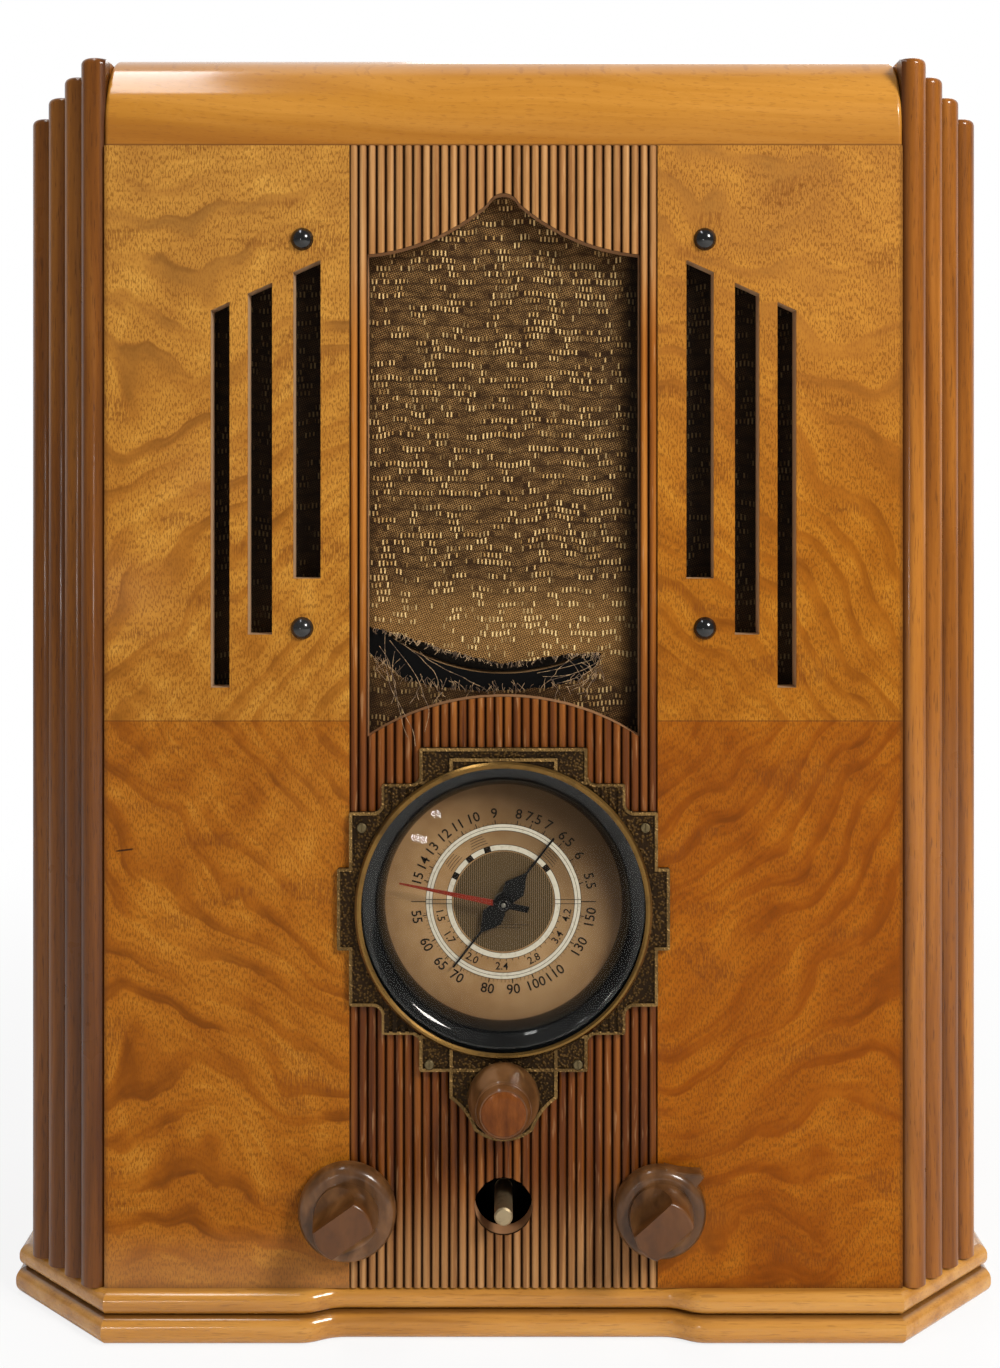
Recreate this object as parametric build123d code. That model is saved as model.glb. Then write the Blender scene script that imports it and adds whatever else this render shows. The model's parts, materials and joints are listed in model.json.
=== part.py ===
from build123d import *
import math
import os

# Table-top radio of the 1930s in an upright wooden cabinet: fluted corners, a reeded centre facing,
# a stepped brass escutcheon round a large dial, and the set itself inside, open at the back.
# Millimetres, +Z up, the front faces -Y. The origin is the middle of the base's underside.
# Every piece is built with y = 0 on the flat front of the cabinet, and moved once at the end.

# Driving sizes of the cabinet
CABINET_HEIGHT = 453.0
BODY_DEPTH = 240.0
FRONT_WIDTH = 279.4
PANEL_THICK = 9.0
REED_COUNT = 34
REED_PITCH = 3.175
REED_RISE = 1.2
STAVE_COUNT = 4
STAVE_PITCH = 7.7
STAVE_GAP = 0.04
TOP_THICK = 12.0
RAIL_HEIGHT = 35.0
SHOULDER_DROP = 20.8
BASE_FRONT_LIP = 6.0
BASE_SIDE_LIP = 8.0
LOWER_BOARD_THICK = 10.0
UPPER_BOARD_THICK = 8.0

# Driving sizes of what shows on the front
DIAL_Z = 151.0
DIAL_BEZEL_RADIUS = 51.8
TUNING_DROP = 64.5
CONTROL_Z = 46.5
CONTROL_X = 54.4
SHAFT_RADIUS = 3.175
SHAFT_HOLE_RADIUS = 5.5
TONE_HOLE_RADIUS = 10.15

# Driving sizes of the works
SPEAKER_MARGIN = 20.2
SPEAKER_LOW = 5.8
BAFFLE_HALF = 118.0
BAFFLE_THICK = 9.5
BAFFLE_FOOT_GAP = 0.8
BAFFLE_TOP_GAP = 10.0
CHASSIS_WIDTH = 236.0
CHASSIS_DEPTH = 188.0
CHASSIS_HEIGHT = 52.0
CHASSIS_SHEET = 1.2
CHASSIS_SETBACK = 24.0
PAD_HEIGHT = 6.0

# Clearances
RUNNING_CLEARANCE = 0.08
SCREW_CLEARANCE = 0.15
SEAT_GAP = 0.1
OVERRUN = 2.0

# Places that several pieces share
STAVE_RADIUS = STAVE_PITCH / math.sqrt(2) - STAVE_GAP / 2
FRONT_HALF = FRONT_WIDTH / 2
CORNER_RUN = STAVE_PITCH * (STAVE_COUNT - 0.5) + STAVE_RADIUS
BODY_HALF = FRONT_HALF + CORNER_RUN
BASE_TOP = LOWER_BOARD_THICK + UPPER_BOARD_THICK
PANEL_TOP = CABINET_HEIGHT - RAIL_HEIGHT
FACING_HEIGHT = PANEL_TOP - BASE_TOP
REEDED_HALF = REED_COUNT * REED_PITCH / 2
TUNING_Z = DIAL_Z - TUNING_DROP
FRONT_Y = BASE_FRONT_LIP - (BODY_DEPTH + BASE_FRONT_LIP) / 2
CHASSIS_FLOOR = BASE_TOP + PAD_HEIGHT
CHASSIS_TOP = CHASSIS_FLOOR + CHASSIS_HEIGHT
BEARING_RADIUS = SHAFT_RADIUS + RUNNING_CLEARANCE
CLOTH_THICK = 0.6
CLOTH_FRONT = PANEL_THICK + SEAT_GAP
BAFFLE_FRONT = CLOTH_FRONT + CLOTH_THICK + SEAT_GAP
BAFFLE_BACK = BAFFLE_FRONT + BAFFLE_THICK
BAFFLE_FOOT = DIAL_Z + DIAL_BEZEL_RADIUS + BAFFLE_FOOT_GAP
BAFFLE_TOP = PANEL_TOP - BAFFLE_TOP_GAP
BAFFLE_HEIGHT = BAFFLE_TOP - BAFFLE_FOOT
SPEAKER_RADIUS = BAFFLE_HEIGHT / 2 - SPEAKER_MARGIN
SPEAKER_Z = (BAFFLE_FOOT + BAFFLE_TOP) / 2 - SPEAKER_LOW

PIECES = {}


def between(x0, x1, y0, y1, z0, z1):
    """A block between two corners."""
    return Pos((x0 + x1) / 2, (y0 + y1) / 2, (z0 + z1) / 2) * Box(x1 - x0, y1 - y0, z1 - z0)


def rod(radius, y0, y1, x=0, z=0):
    """A round bar that runs front to back."""
    return Pos(x, (y0 + y1) / 2, z) * Rot(90, 0, 0) * Cylinder(radius, y1 - y0)


def post(radius, z0, z1, x, y):
    """An upright round bar."""
    return Pos(x, y, (z0 + z1) / 2) * Cylinder(radius, z1 - z0)


def hex_nut(across, y0, y1, x, z):
    """A six-sided nut on a bar that runs front to back."""
    flat = RegularPolygon(across / 2, 6, major_radius=False)
    return Pos(x, y1, z) * Rot(90, 0, 0) * extrude(flat, y1 - y0)


def slab(face, y0, y1, z=0):
    """A slab whose outline is drawn upright, as seen from the front, between two depths."""
    return Pos(0, y0, z) * extrude(Plane.XZ * face, y0 - y1)


def turned(points, x=0, z=0):
    """A ring or knob turned on a front-to-back axis, from (radius, y) points."""
    return Pos(x, 0, z) * revolve(make_face(Polyline(*points, close=True)), Axis.Y)


def turned_upright(points, x, y):
    """A vessel or can turned on an upright axis, from (radius, z) points."""
    outline = Plane.XZ * make_face(Polyline(*points, close=True))
    return Pos(x, y, 0) * revolve(outline, Axis.Z)


def both_sides(shape):
    """A piece and its mirror image, left and right."""
    return shape, mirror(shape, about=Plane.YZ)


def keep(name, *solids):
    """Store the solids of one named sub-part."""
    PIECES[name] = solids


# Base: two boards with rounded noses, chamfered corners and a shallow recess in the middle
BASE_RECESS = 4.5
RECESS_HALF = 55.0
RECESS_SWEEP = 16.0
UPPER_BOARD_INSET = 1.2
BASE_CORNER_TURN = 45.0
NOSE_SHARE = 0.44
FOOT_BOLT_X = 106.0
FOOT_BOLT_SETBACK = 30.0
FOOT_BOLT_RADIUS = 2.4
FOOT_HEAD_RADIUS = 5.5
FOOT_HEAD_HEIGHT = 3.5


def base_outline(inset):
    half = BODY_HALF + BASE_SIDE_LIP - inset
    front = inset - BASE_FRONT_LIP
    corner = FRONT_HALF - inset * math.tan(math.radians(BASE_CORNER_TURN) / 2)
    middle = front + BASE_RECESS
    sweep_x = RECESS_HALF + RECESS_SWEEP
    halves = []
    for side in (1, -1):
        start = (side * RECESS_HALF, middle)
        turn = (side * (RECESS_HALF + RECESS_SWEEP / 2), (middle + front) / 2)
        end = (side * sweep_x, front)
        halves.append(TangentArc(start, turn, tangent=(side, 0)))
        halves.append(TangentArc(end, turn, tangent=(-side, 0)))
        halves.append(Polyline(end, (side * corner, front),
                               (side * half, front + half - corner), (side * half, BODY_DEPTH)))
    middle_line = Line((-RECESS_HALF, middle), (RECESS_HALF, middle))
    back_line = Line((-half, BODY_DEPTH), (half, BODY_DEPTH))
    return make_face([middle_line, back_line] + [edge for line in halves for edge in line.edges()])


def foot_bolt_places():
    for x in (-FOOT_BOLT_X, FOOT_BOLT_X):
        for y in (CHASSIS_SETBACK + FOOT_BOLT_SETBACK,
                  CHASSIS_SETBACK + CHASSIS_DEPTH - FOOT_BOLT_SETBACK):
            yield x, y


def base_board(inset, z, thick):
    board = Pos(0, 0, z) * extrude(base_outline(inset), thick)
    back = BODY_DEPTH - SEAT_GAP
    rims = [edge for edge in board.edges()
            if abs(edge.center().Z - z - thick / 2) > thick / 4 and edge.center().Y < back]
    board = fillet(rims, thick * NOSE_SHARE)
    for x, y in foot_bolt_places():
        board -= post(FOOT_BOLT_RADIUS + SCREW_CLEARANCE, z - OVERRUN, z + thick + OVERRUN, x, y)
        board -= post(FOOT_HEAD_RADIUS + SCREW_CLEARANCE, -OVERRUN, FOOT_HEAD_HEIGHT + SEAT_GAP, x, y)
    return board


keep("base_moulding_lower", base_board(0, 0, LOWER_BOARD_THICK))
keep("base_moulding_upper", base_board(UPPER_BOARD_INSET, LOWER_BOARD_THICK, UPPER_BOARD_THICK))

# Fluted corners: round-nosed staves side by side on a diagonal, each a little lower than the last
STAVE_CROWN = 2.2
STAVE_DROP_POWER = 1.2
STAVE_TAIL = (PANEL_THICK + STAVE_PITCH / 2 - STAVE_RADIUS) / math.sqrt(2)
POST_RUN = 21.0


def stave_top(index):
    return CABINET_HEIGHT - SHOULDER_DROP * (index / STAVE_COUNT) ** STAVE_DROP_POWER


def stave(index):
    """A round nose with a crowned top, on a tail of the same width that runs in to the corner post."""
    reach = STAVE_PITCH * (index - 1)
    height = stave_top(index) - BASE_TOP
    nose = post(STAVE_RADIUS, 0, height, 0, 0)
    nose = fillet(nose.edges().filter_by(GeomType.CIRCLE).sort_by(Axis.Z)[-1], STAVE_CROWN)
    nose -= between(-BODY_HALF, BODY_HALF, 0, BODY_HALF, -OVERRUN, height + OVERRUN)
    tail = between(-STAVE_RADIUS, STAVE_RADIUS, 0, STAVE_TAIL, 0, height)
    tail = fillet(tail.edges().filter_by(Axis.Y).group_by(Axis.Z)[-1], STAVE_CROWN)
    place = Pos(FRONT_HALF + STAVE_PITCH / 2 + reach, STAVE_RADIUS + reach, BASE_TOP)
    room = between(FRONT_HALF, 2 * BODY_HALF, -OVERRUN, CORNER_RUN, 0, CABINET_HEIGHT)
    return (place * Rot(0, 0, 45) * (nose + tail)) & room


def corner_post():
    inner = BODY_HALF - PANEL_THICK
    outline = Polyline((FRONT_HALF, PANEL_THICK), (inner, CORNER_RUN), (inner, CORNER_RUN + POST_RUN),
                       (FRONT_HALF - POST_RUN, PANEL_THICK), close=True)
    return Pos(0, 0, BASE_TOP) * extrude(make_face(outline), FACING_HEIGHT)


right_staves = [stave(index + 1) for index in range(STAVE_COUNT)]
keep("flute_staves_right", *right_staves)
keep("flute_staves_left", *[mirror(bar, about=Plane.YZ) for bar in right_staves])
keep("corner_posts", *both_sides(corner_post()))

# Top: a flat panel, a rounded rail along its front and a stepped shoulder down each side
RAIL_ROUND = 28.0
RAIL_DEPTH = 40.0
RAIL_END_ROUND = 1.5
STEP_ROUND = 2.0


def top_rail():
    low = CABINET_HEIGHT - RAIL_HEIGHT
    bar = between(-FRONT_HALF, FRONT_HALF, 0, RAIL_DEPTH, low, CABINET_HEIGHT)
    nose = bar.edges().filter_by(Axis.X).group_by(Axis.Y)[0].sort_by(Axis.Z)[-1]
    bar = fillet(nose, RAIL_ROUND)
    ends = bar.edges().filter_by(Axis.Z).group_by(Axis.Y)[0]
    return fillet(ends, RAIL_END_ROUND)


def shoulder():
    low = PANEL_TOP
    points = [(FRONT_HALF, low), (FRONT_HALF, stave_top(1))]
    for index in range(STAVE_COUNT):
        edge_x = FRONT_HALF + STAVE_PITCH * (index + 0.5) + STAVE_RADIUS
        points.append((edge_x, stave_top(index + 1)))
        if index + 1 < STAVE_COUNT:
            points.append((edge_x, stave_top(index + 2)))
    points.append((BODY_HALF, low))
    steps = slab(make_face(Polyline(*points, close=True)), 0, BODY_DEPTH)
    corners = [edge for edge in steps.edges().filter_by(Axis.Y)
               if any(abs(edge.center().Z - stave_top(index + 1)) < SEAT_GAP
                      and abs(edge.center().X - FRONT_HALF - STAVE_PITCH * (index + 0.5)
                              - STAVE_RADIUS) < SEAT_GAP for index in range(STAVE_COUNT))]
    steps = fillet(corners, STEP_ROUND)
    inner = BODY_HALF - PANEL_THICK
    notch = Polyline((FRONT_HALF - OVERRUN, -OVERRUN), (BODY_HALF + OVERRUN, -OVERRUN),
                     (BODY_HALF + OVERRUN, CORNER_RUN), (inner, CORNER_RUN),
                     (FRONT_HALF, PANEL_THICK), (FRONT_HALF - OVERRUN, PANEL_THICK), close=True)
    return steps - extrude(make_face(notch), CABINET_HEIGHT + OVERRUN)


keep("top_rail", top_rail())
keep("top_panel", between(-FRONT_HALF, FRONT_HALF, RAIL_DEPTH, BODY_DEPTH,
                          CABINET_HEIGHT - TOP_THICK, CABINET_HEIGHT))
keep("shoulder_mouldings", *both_sides(shoulder()))

# Sides and front facings
FACING_WIDTH = FRONT_HALF - REEDED_HALF
SLOT_PLACE_SHARES = (0.117, 0.315, 0.489)
SLOT_WIDTH_SHARES = (0.112, 0.1, 0.0775)
SLOT_FOOT_SHARES = (0.307, 0.211, 0.12)
SLOT_HEAD_SHARES = (0.853, 0.814, 0.781)
SLOT_SLANT_SHARE = 0.45
BAFFLE_BOLT_X = 70.5
BAFFLE_BOLT_DROP = 17.4
BAFFLE_BOLT_RISE = 7.2
BAFFLE_BOLT_RADIUS = 2.0

BAFFLE_BOLT_LOW = BAFFLE_FOOT + BAFFLE_HEIGHT * SLOT_FOOT_SHARES[0] - BAFFLE_BOLT_DROP
BAFFLE_BOLT_HIGH = BAFFLE_FOOT + BAFFLE_HEIGHT * SLOT_HEAD_SHARES[0] + BAFFLE_BOLT_RISE


def slot(index):
    near = REEDED_HALF + FACING_WIDTH * SLOT_PLACE_SHARES[index]
    far = near + FACING_WIDTH * SLOT_WIDTH_SHARES[index]
    foot = BAFFLE_FOOT + BAFFLE_HEIGHT * SLOT_FOOT_SHARES[index]
    head = BAFFLE_FOOT + BAFFLE_HEIGHT * SLOT_HEAD_SHARES[index]
    outline = Polyline((near, foot), (far, foot), (far, head - (far - near) * SLOT_SLANT_SHARE),
                       (near, head), close=True)
    return slab(make_face(outline), -OVERRUN, PANEL_THICK + OVERRUN)


def baffle_bolt_places():
    for x in (-BAFFLE_BOLT_X, BAFFLE_BOLT_X):
        for z in (BAFFLE_BOLT_LOW, BAFFLE_BOLT_HIGH):
            yield x, z


def cut_front_holes(panel):
    """The holes that the facings share: baffle bolts and control shafts."""
    back = BAFFLE_BACK + OVERRUN
    for x, z in baffle_bolt_places():
        panel -= rod(BAFFLE_BOLT_RADIUS + SCREW_CLEARANCE, -OVERRUN, back, x, z)
    for x in (-CONTROL_X, CONTROL_X):
        panel -= rod(SHAFT_HOLE_RADIUS, -OVERRUN, back, x, CONTROL_Z)
    return panel


def facing():
    panel = between(REEDED_HALF, FRONT_HALF, 0, PANEL_THICK, BASE_TOP, PANEL_TOP)
    for index in range(len(SLOT_PLACE_SHARES)):
        panel -= slot(index)
    return cut_front_holes(panel)


right_facing, left_facing = both_sides(facing())
keep("front_panel_right", right_facing)
keep("front_panel_left", left_facing)
right_side, left_side = both_sides(between(BODY_HALF - PANEL_THICK, BODY_HALF, CORNER_RUN, BODY_DEPTH,
                                           BASE_TOP, PANEL_TOP))
keep("side_panel_right", right_side)
keep("side_panel_left", left_side)

# Reeded centre facing, with the grille opening and the dial and control holes
FRAME_REEDS = 2
OPENING_HALF = REEDED_HALF - FRAME_REEDS * REED_PITCH
OPENING_MARGIN = 7.3
OPENING_ARCH_RISE = 14.0
OPENING_SPRING_DROP = 38.2
OPENING_APEX_DROP = 16.7
KEEL_HALF = 5.4
KEEL_DROP = 3.5
KEEL_SAG = 3.9
DIAL_HOLE_RADIUS = 49.4
SCREW_RADIUS = 1.0
SCREW_DEPTH = 7.0
HIGH_SCREW_X = 49.5
HIGH_SCREW_RISE = 28.4
LOW_SCREW_X = 25.9
LOW_SCREW_DROP = 54.0

OPENING_FOOT = BAFFLE_FOOT + OPENING_MARGIN
OPENING_SPRING = PANEL_TOP - OPENING_SPRING_DROP
OPENING_APEX = PANEL_TOP - OPENING_APEX_DROP


def escutcheon_screw_places():
    for side in (-1, 1):
        yield side * HIGH_SCREW_X, DIAL_Z + HIGH_SCREW_RISE
        yield side * LOW_SCREW_X, DIAL_Z - LOW_SCREW_DROP


def grille_opening():
    foot_left, foot_right = (-OPENING_HALF, OPENING_FOOT), (OPENING_HALF, OPENING_FOOT)
    spring_left, spring_right = (-OPENING_HALF, OPENING_SPRING), (OPENING_HALF, OPENING_SPRING)
    keel_left, keel_right = (-KEEL_HALF, OPENING_APEX - KEEL_DROP), (KEEL_HALF, OPENING_APEX - KEEL_DROP)
    haunch_x = (OPENING_HALF + KEEL_HALF) / 2
    haunch_z = (OPENING_SPRING + OPENING_APEX - KEEL_DROP) / 2 - KEEL_SAG
    outline = [
        ThreePointArc(foot_left, (0, OPENING_FOOT + OPENING_ARCH_RISE), foot_right),
        Line(foot_right, spring_right),
        ThreePointArc(spring_right, (haunch_x, haunch_z), keel_right),
        ThreePointArc(keel_right, (0, OPENING_APEX), keel_left),
        ThreePointArc(keel_left, (-haunch_x, haunch_z), spring_left),
        Line(spring_left, foot_left),
    ]
    return slab(make_face(outline), -OVERRUN, PANEL_THICK + OVERRUN)


def reeded_panel():
    edges = []
    for index in range(REED_COUNT):
        start = index * REED_PITCH - REEDED_HALF
        edges.append(ThreePointArc((start, REED_RISE), (start + REED_PITCH / 2, 0),
                                   (start + REED_PITCH, REED_RISE)))
    edges += Polyline((REEDED_HALF, REED_RISE), (REEDED_HALF, PANEL_THICK),
                      (-REEDED_HALF, PANEL_THICK), (-REEDED_HALF, REED_RISE)).edges()
    panel = Pos(0, 0, BASE_TOP) * extrude(make_face(edges), FACING_HEIGHT)
    back = PANEL_THICK + OVERRUN
    panel -= grille_opening()
    panel -= rod(DIAL_HOLE_RADIUS, -OVERRUN, back, 0, DIAL_Z)
    panel -= rod(SHAFT_HOLE_RADIUS, -OVERRUN, back, 0, TUNING_Z)
    panel -= rod(TONE_HOLE_RADIUS, -OVERRUN, back, 0, CONTROL_Z)
    for x, z in escutcheon_screw_places():
        panel -= rod(SCREW_RADIUS + SCREW_CLEARANCE, -OVERRUN, SCREW_DEPTH + SEAT_GAP, x, z)
    return cut_front_holes(panel)


keep("reeded_panel", reeded_panel())

# Baffle board, grille cloth and the domed bolts that hold the board
SPEAKER_RIM = 14.0
CLOTH_HALF = 112.0
BOLT_HEAD_RADIUS = 4.0
BOLT_HEAD_HEIGHT = 3.0
BOLT_NUT_ACROSS = 7.5
BOLT_NUT_HEIGHT = 3.2
SPEAKER_SCREW_RADIUS = 1.8
SPEAKER_SCREW_INSET = 6.0
SPEAKER_SCREW_HEAD = 3.4
SPEAKER_SCREW_HEAD_HEIGHT = 2.2
SPEAKER_SCREW_BITE = 8.0

BAFFLE_HOLE_RADIUS = SPEAKER_RADIUS - SPEAKER_RIM
SPEAKER_SCREW_CIRCLE = SPEAKER_RADIUS - SPEAKER_SCREW_INSET


def speaker_screw_places():
    for index in range(4):
        angle = math.radians(90 * index)
        yield SPEAKER_SCREW_CIRCLE * math.sin(angle), SPEAKER_Z + SPEAKER_SCREW_CIRCLE * math.cos(angle)


def baffle_board():
    board = between(-BAFFLE_HALF, BAFFLE_HALF, BAFFLE_FRONT, BAFFLE_BACK, BAFFLE_FOOT, BAFFLE_TOP)
    board -= rod(BAFFLE_HOLE_RADIUS, 0, BAFFLE_BACK + OVERRUN, 0, SPEAKER_Z)
    for x, z in speaker_screw_places():
        board -= rod(SPEAKER_SCREW_RADIUS + SCREW_CLEARANCE,
                     BAFFLE_BACK - SPEAKER_SCREW_BITE - SEAT_GAP, BAFFLE_BACK + OVERRUN, x, z)
    return cut_front_holes(board)


def grille_cloth():
    return cut_front_holes(between(-CLOTH_HALF, CLOTH_HALF, CLOTH_FRONT, CLOTH_FRONT + CLOTH_THICK,
                                   BAFFLE_FOOT + OVERRUN, BAFFLE_TOP - OVERRUN))


def baffle_bolt(x, z):
    dome_radius = (BOLT_HEAD_RADIUS ** 2 + BOLT_HEAD_HEIGHT ** 2) / (2 * BOLT_HEAD_HEIGHT)
    head = Pos(x, dome_radius - BOLT_HEAD_HEIGHT, z) * Sphere(dome_radius)
    head &= rod(BOLT_HEAD_RADIUS, -2 * BOLT_HEAD_HEIGHT, 0, x, z)
    return head + rod(BAFFLE_BOLT_RADIUS, -BOLT_HEAD_HEIGHT / 2,
                      BAFFLE_BACK + BOLT_NUT_HEIGHT + OVERRUN, x, z)


def baffle_nut(x, z):
    nut = hex_nut(BOLT_NUT_ACROSS, BAFFLE_BACK, BAFFLE_BACK + BOLT_NUT_HEIGHT, x, z)
    return nut - rod(BAFFLE_BOLT_RADIUS + RUNNING_CLEARANCE, 0, BAFFLE_BACK + BODY_DEPTH, x, z)


keep("baffle_board", baffle_board())
keep("grille_cloth", grille_cloth())
keep("baffle_bolts", *[baffle_bolt(x, z) for x, z in baffle_bolt_places()])
keep("baffle_nuts", *[baffle_nut(x, z) for x, z in baffle_bolt_places()])

# Loudspeaker: stamped basket, pot magnet, paper cone on its surround and spider
BASKET_SHEET = 1.2
THROAT_INSET = 18.0
BASKET_BACK_SHARE = 0.439
BASKET_DEPTH = 40.0
BASKET_WINDOWS = 6
WINDOW_HALF = 11.0
WINDOW_MARGIN = 6.0
CONE_INSET = 4.0
CONE_PAPER = 0.8
CONE_DEPTH = 35.0
SURROUND_THICK = 0.8
SPIDER_THICK = 0.8
SPIDER_INSET = 4.0
SPIDER_SEAT = 3.0
COIL_SHARE = 0.1585
COIL_WALL = 0.4
COIL_LENGTH = 17.0
GAP_EACH_SIDE = 0.6
CAP_HEIGHT = 6.0
CAP_CROWN_SHARE = 0.75
MAGNET_SHARE = 0.4024
MAGNET_LENGTH = 44.0
MAGNET_WALL = 4.0
FRONT_PLATE_THICK = 5.0
TRANSFORMER_HALF = 19.0
TRANSFORMER_HEIGHT = 34.0
TRANSFORMER_STACK = 16.0
WINDING_BULGE = 7.0
SOFT_GAP = 0.3

THROAT_RADIUS = SPEAKER_RADIUS - THROAT_INSET
CONE_RADIUS = THROAT_RADIUS - CONE_INSET
BASKET_BACK_RADIUS = SPEAKER_RADIUS * BASKET_BACK_SHARE
SPIDER_RADIUS = BASKET_BACK_RADIUS - SPIDER_INSET
COIL_RADIUS = SPEAKER_RADIUS * COIL_SHARE
MAGNET_RADIUS = SPEAKER_RADIUS * MAGNET_SHARE
BASKET_BACK = BAFFLE_BACK + BASKET_DEPTH
MAGNET_FRONT = BASKET_BACK + BASKET_SHEET
CONE_FRONT = BAFFLE_BACK - SURROUND_THICK
CONE_NECK = CONE_FRONT + CONE_DEPTH
SPIDER_FRONT = BASKET_BACK - SPIDER_SEAT - SPIDER_THICK


def speaker_basket():
    shell = turned([
        (THROAT_RADIUS, BAFFLE_BACK), (SPEAKER_RADIUS, BAFFLE_BACK),
        (SPEAKER_RADIUS, BAFFLE_BACK + BASKET_SHEET),
        (THROAT_RADIUS + BASKET_SHEET, BAFFLE_BACK + BASKET_SHEET),
        (BASKET_BACK_RADIUS + BASKET_SHEET, MAGNET_FRONT), (COIL_RADIUS + OVERRUN, MAGNET_FRONT),
        (COIL_RADIUS + OVERRUN, BASKET_BACK), (BASKET_BACK_RADIUS, BASKET_BACK),
    ], 0, SPEAKER_Z)
    seat = turned([
        (SPIDER_RADIUS - SPIDER_SEAT, SPIDER_FRONT + SPIDER_THICK),
        (SPIDER_RADIUS, SPIDER_FRONT + SPIDER_THICK),
        (SPIDER_RADIUS, BASKET_BACK + BASKET_SHEET / 2),
        (SPIDER_RADIUS - SPIDER_SEAT, BASKET_BACK + BASKET_SHEET / 2),
    ], 0, SPEAKER_Z)
    shell += seat
    window = between(-WINDOW_HALF, WINDOW_HALF, BAFFLE_BACK + WINDOW_MARGIN,
                     BASKET_BACK - WINDOW_MARGIN, BASKET_BACK_RADIUS + WINDOW_MARGIN, SPEAKER_RADIUS)
    for index in range(BASKET_WINDOWS):
        shell -= Pos(0, 0, SPEAKER_Z) * Rot(0, 360 / BASKET_WINDOWS * (index + 0.5), 0) * window
    for x, z in speaker_screw_places():
        shell -= rod(SPEAKER_SCREW_RADIUS + SCREW_CLEARANCE, 0, BASKET_BACK, x, z)
    return shell


def field_magnet():
    back = MAGNET_FRONT + MAGNET_LENGTH
    plate_back = MAGNET_FRONT + FRONT_PLATE_THICK
    pole = COIL_RADIUS - COIL_WALL - GAP_EACH_SIDE
    hole = COIL_RADIUS + GAP_EACH_SIDE
    return turned([
        (hole, MAGNET_FRONT), (MAGNET_RADIUS, MAGNET_FRONT), (MAGNET_RADIUS, back), (0, back),
        (0, MAGNET_FRONT), (pole, MAGNET_FRONT), (pole, back - MAGNET_WALL),
        (MAGNET_RADIUS - MAGNET_WALL, back - MAGNET_WALL),
        (MAGNET_RADIUS - MAGNET_WALL, plate_back), (hole, plate_back),
    ], 0, SPEAKER_Z)


def output_transformer():
    foot = SPEAKER_Z + MAGNET_RADIUS
    middle = MAGNET_FRONT + MAGNET_LENGTH / 2
    core = between(-TRANSFORMER_HALF, TRANSFORMER_HALF, middle - TRANSFORMER_STACK / 2,
                   middle + TRANSFORMER_STACK / 2, foot, foot + TRANSFORMER_HEIGHT)
    winding = between(-TRANSFORMER_HALF / 2, TRANSFORMER_HALF / 2,
                      middle - TRANSFORMER_STACK / 2 - WINDING_BULGE,
                      middle + TRANSFORMER_STACK / 2 + WINDING_BULGE,
                      foot + WINDING_BULGE, foot + TRANSFORMER_HEIGHT - WINDING_BULGE)
    winding = fillet(winding.edges().filter_by(Axis.X), WINDING_BULGE / 2)
    return core + winding


def speaker_cone():
    inner = COIL_RADIUS - COIL_WALL
    cap_edge = COIL_RADIUS + CAP_HEIGHT
    slope = (CONE_RADIUS - COIL_RADIUS) / CONE_DEPTH
    cap_y = CONE_NECK - CAP_HEIGHT / slope
    cone = turned([
        (CONE_RADIUS, CONE_FRONT), (CONE_RADIUS, CONE_FRONT + CONE_PAPER),
        (COIL_RADIUS, CONE_NECK + CONE_PAPER), (COIL_RADIUS, CONE_NECK + COIL_LENGTH),
        (inner, CONE_NECK + COIL_LENGTH), (inner, CONE_NECK), (CONE_RADIUS - CONE_PAPER, CONE_FRONT),
    ], 0, SPEAKER_Z)
    cap = turned([
        (0, cap_y - CAP_HEIGHT), (cap_edge / 2, cap_y - CAP_HEIGHT * CAP_CROWN_SHARE), (cap_edge, cap_y),
        (cap_edge, cap_y + CONE_PAPER),
        (cap_edge / 2, cap_y - CAP_HEIGHT * CAP_CROWN_SHARE + CONE_PAPER),
        (0, cap_y - CAP_HEIGHT + CONE_PAPER),
    ], 0, SPEAKER_Z)
    return cone + cap


def speaker_screw(x, z):
    head_back = BAFFLE_BACK + BASKET_SHEET + SPEAKER_SCREW_HEAD_HEIGHT
    return (rod(SPEAKER_SCREW_HEAD, BAFFLE_BACK + BASKET_SHEET, head_back, x, z)
            + rod(SPEAKER_SCREW_RADIUS, BAFFLE_BACK - SPEAKER_SCREW_BITE, head_back, x, z))


keep("speaker_basket", speaker_basket())
keep("field_magnet", field_magnet())
keep("output_transformer", output_transformer())
keep("speaker_cone", speaker_cone())
keep("cone_surround", turned([
    (CONE_RADIUS + SOFT_GAP, CONE_FRONT), (BAFFLE_HOLE_RADIUS - SOFT_GAP, CONE_FRONT),
    (BAFFLE_HOLE_RADIUS - SOFT_GAP, BAFFLE_BACK), (CONE_RADIUS + SOFT_GAP, BAFFLE_BACK),
], 0, SPEAKER_Z))
keep("spider", turned([
    (COIL_RADIUS + SOFT_GAP, SPIDER_FRONT), (SPIDER_RADIUS, SPIDER_FRONT),
    (SPIDER_RADIUS, SPIDER_FRONT + SPIDER_THICK), (COIL_RADIUS + SOFT_GAP, SPIDER_FRONT + SPIDER_THICK),
], 0, SPEAKER_Z))
keep("speaker_screws", *[speaker_screw(x, z) for x, z in speaker_screw_places()])

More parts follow.
